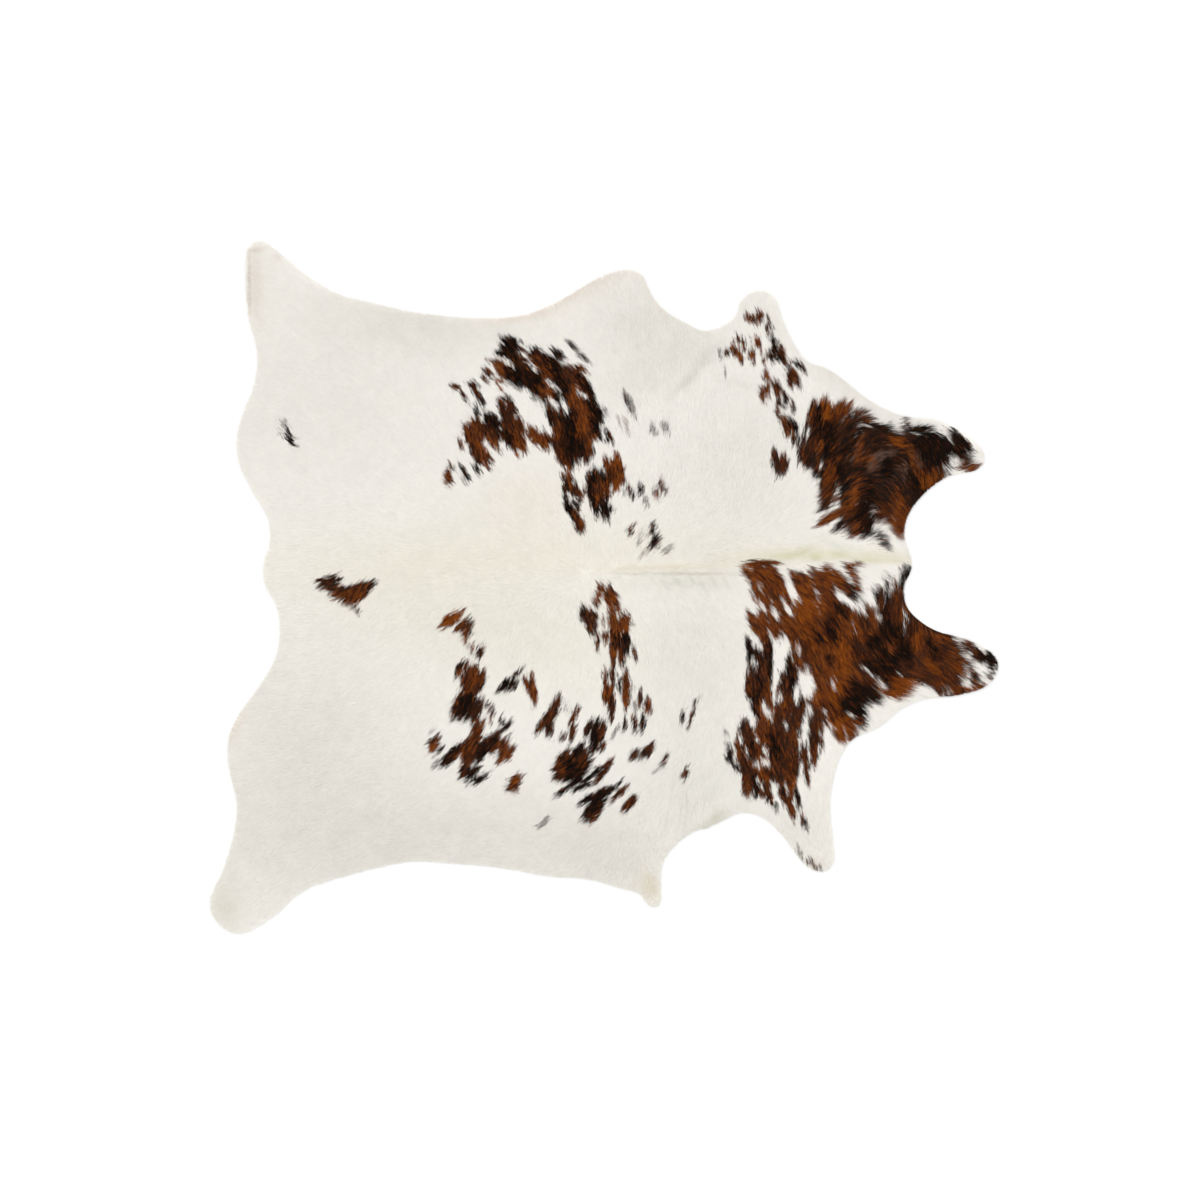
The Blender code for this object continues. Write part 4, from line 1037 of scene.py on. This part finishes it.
def strand_colours(places, middles, combed, tuft, rng):
    """The colour of each strand's three corners. A tuft is mostly of one tone, with a few odd strands."""
    roots, shown, tips = places
    count = len(shown)
    share = column(TONES, "share")

    # where on the markings the strand is looked up, and its tone there
    centres = middles + combed * TUFT_AHEAD
    slip = varied(SLIP, FRINGE, tuft, rng)
    drift = left_of(combed) * TUFT_DRIFT * rng.standard_normal((len(middles), 1))
    shift = combed[tuft] * slip[:, None] + drift[tuft]
    seen = pixels((1 - TOGETHER) * shown + TOGETHER * centres[tuft] + shift)
    fray = FRAY[0] * soft_noise(centres, FRAY_LUMPS)[tuft] + FRAY[1] * rng.standard_normal(count)
    looks = [tones_at(seen + off * rng.standard_normal((count, 2)), fray) for off in (0, SECOND_LOOK)]
    cover = (share[looks[0]] + share[looks[1]]) / 2
    tone = np.where(share[looks[0]] > 0, looks[0], looks[1])
    nearby = tones_at(seen + varied(0, BLUR, tuft, rng, 2), fray)
    tone = np.where((share[tone] == 1) & (share[nearby] == 1), nearby, tone)

    # its place on the ramp, and how far each of its corners is coloured
    shade = varied(column(TONES, "shade")[tone], SHADE_SPREAD, tuft, rng)
    odd = rng.uniform(0, 1, count)
    shade = np.where(odd < ODD_DARK[0], ODD_DARK[1], np.where(odd > 1 - ODD_RUST[0], ODD_RUST[1], shade))
    mixed = (share[tone] > 0) & (share[tone] < 1)
    cover = np.clip(cover + mixed * COVER_SPREAD * rng.standard_normal(count), 0, 1)
    far = [share[tones_at(pixels(ends + shift), fray)] for ends in (roots, tips)]
    at_root, at_tip = ((1 - own) * cover + own * there for own, there in zip(ROOT_AND_TIP, far))
    coloured = np.column_stack([at_root, at_root, at_tip])

    # the colours of white and of coloured hair, and the strand's own between them
    bright = varied(1, BRIGHT_SPREAD, tuft, rng)
    patches = zip(BRIGHT_PATCHES, (BROAD_PATCHES, FINE_PATCHES))
    bright += sum(amount * soft_noise(shown, noise) for amount, noise in patches)
    white = white_at(shown) * bright[:, None]
    # painted sheen: soft highlights painted into the dark hair's colour, in lumps and from strand to strand
    middle, by_patch, by_strand = PAINTED_SHEEN_AMOUNTS
    gloss = middle + by_patch * soft_noise(centres, PAINTED_SHEEN_LUMPS)[tuft]
    gloss = np.clip(gloss + by_strand * rng.standard_normal(count), 0, 1) * column(TONES, "gloss")[tone]
    vivid = ramp(np.clip(shade, 0, 1)) * (1 + DARK_CONTRAST * (bright - 1))[:, None]
    vivid = vivid + (light(PAINTED_SHEEN_COLOUR) - vivid) * gloss[:, None]
    colour = white[:, None] + (vivid - white)[:, None] * coloured[:, :, None]
    # painted shade at each strand's root and a painted highlight at its tip, weaker on white hair
    contrast = WHITE_CONTRAST + (1 - WHITE_CONTRAST) * coloured
    along = 1 + (np.array(ROOT_SHADE_TIP_HIGHLIGHT) - 1) * contrast
    return np.clip(colour * along[:, :, None], 0, 1)


def coat(survey, loop):
    """The coat, in one joined mesh for each stretch of the back, each with as many strands as the next."""
    corners, colours = strands(survey, loop)
    order = np.argsort(corners[:, 0, 0], kind="stable")
    material = hair_material()
    pieces = []
    for name, chosen in zip(COAT_PIECES, np.array_split(order, len(COAT_PIECES))):
        faces = np.arange(3 * len(chosen)).reshape(-1, 3)
        shape, shades = corners[chosen].reshape(-1, 3), colours[chosen].reshape(-1, 3)
        pieces.append(mesh_object(name, shape, faces, shades, material))
    return pieces


# --- materials ---


def node(tree, kind, **settings):
    """A shader node with its properties and socket values set."""
    made = tree.nodes.new(kind)
    for name, value in settings.items():
        if hasattr(made, name):
            setattr(made, name, value)
        else:
            made.inputs[name.replace("_", " ")].default_value = value
    return made


def fresh(name):
    """A new node material, its tree and its shader."""
    material = bpy.data.materials.new(name)
    material.use_nodes = True
    return material, material.node_tree, material.node_tree.nodes["Principled BSDF"]


def noise_over(tree, **settings):
    """Noise over the piece, from 0 to 1."""
    where = node(tree, "ShaderNodeTexCoord")
    noise = node(tree, "ShaderNodeTexNoise", **settings)
    tree.links.new(where.outputs["Object"], noise.inputs["Vector"])
    return noise.outputs["Fac"]


def spread_over(tree, amounts, **settings):
    """Noise over the piece, between two amounts."""
    spread = node(tree, "ShaderNodeMapRange", To_Min=amounts[0], To_Max=amounts[1])
    tree.links.new(noise_over(tree, **settings), spread.inputs["Value"])
    return spread.outputs["Result"]


def surface(look):
    """A material that shows each corner's own colour, mottled a little, and is unevenly rough."""
    material, tree, shader = fresh(look.name)
    colour = node(tree, "ShaderNodeAttribute", attribute_name="coat")
    amounts = (1 - look.mottle, 1 + look.mottle)
    mottle = spread_over(tree, amounts, Scale=look.mottle_scale, **MOTTLE_NOISE)
    mix = node(tree, "ShaderNodeMix", data_type="RGBA", blend_type="MULTIPLY", Factor=1.0)
    first, second, result = COLOUR_MIX
    tree.links.new(colour.outputs["Color"], mix.inputs[first])
    tree.links.new(mottle, mix.inputs[second])
    tree.links.new(mix.outputs[result], shader.inputs["Base Color"])
    rough = spread_over(tree, look.rough, Scale=look.rough_scale, **ROUGH_NOISE)
    tree.links.new(rough, shader.inputs["Roughness"])
    shader.inputs["Specular IOR Level"].default_value = look.shine
    return material, tree, shader


def hair_material():
    """Short hair with a soft, low shine."""
    return surface(HAIR)[0]


def skin_material():
    """Tanned skin, with the fine nap and the low matt sheen of suede."""
    material, tree, shader = surface(SKIN)
    bump = node(tree, "ShaderNodeBump", **NAP_BUMP)
    tree.links.new(noise_over(tree, **NAP), bump.inputs["Height"])
    tree.links.new(bump.outputs["Normal"], shader.inputs["Normal"])
    shader.inputs["Sheen Weight"].default_value = SUEDE_SHEEN
    return material


# --- the stage ---


def floor():
    """A plain pale floor."""
    material, _, shader = fresh("floor")
    shader.inputs["Base Color"].default_value = (FLOOR_WHITE, FLOOR_WHITE, FLOOR_WHITE, 1)
    shader.inputs["Roughness"].default_value = FLOOR_ROUGH
    shader.inputs["Specular IOR Level"].default_value = FLOOR_SHINE
    mesh = bpy.data.meshes.new("floor")
    corners = [(x * FLOOR_HALF, y * FLOOR_HALF, 0) for x, y in ((-1, -1), (1, -1), (1, 1), (-1, 1))]
    mesh.from_pydata(corners, [], [(0, 1, 2, 3)])
    mesh.materials.append(material)
    ground = bpy.data.objects.new("floor", mesh)
    ground.location.z = -FLOOR_DROP
    link(ground)


def lights():
    """Even white light from all round, and a broad lamp on the upper flank's side."""
    world = bpy.data.worlds.new("studio")
    world.use_nodes = True
    sky = world.node_tree.nodes["Background"]
    sky.inputs["Color"].default_value = (1, 1, 1, 1)
    sky.inputs["Strength"].default_value = SKY
    bpy.context.scene.world = world
    lamp = bpy.data.lights.new("lamp", "SUN")
    lamp.angle = LAMP_SPREAD
    lamp.energy = LAMP_STRENGTH
    shown = bpy.data.objects.new("lamp", lamp)
    shown.location = LAMP_PLACE
    shown.rotation_euler = (-Vector(LAMP_PLACE)).to_track_quat("-Z", "Y").to_euler()
    link(shown)


def camera():
    """Square above the rug, as in the photograph, with the neck to the right."""
    lens = bpy.data.cameras.new("camera")
    lens.sensor_width = SENSOR
    lens.lens = SENSOR * CAMERA_HEIGHT / (PICTURE * PIXEL)
    view = bpy.data.objects.new("camera", lens)
    view.location = (*metres(PICTURE / 2, PICTURE / 2), CAMERA_HEIGHT)
    link(view)
    bpy.context.scene.camera = view
    bpy.context.scene.view_settings.view_transform = "Standard"


def build():
    """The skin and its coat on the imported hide, and what stands for what."""
    places, faces = packed_faces()
    loop = smooth_loop(packed_outline(places, faces), OUTLINE_STEP)
    survey = Survey(places, faces, loop)
    sheet = skin(survey, loop)
    hair = coat(survey, loop)
    for piece in [sheet, *hair]:
        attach(piece, "root")
    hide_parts(HIDE)


build()
floor()
lights()
camera()
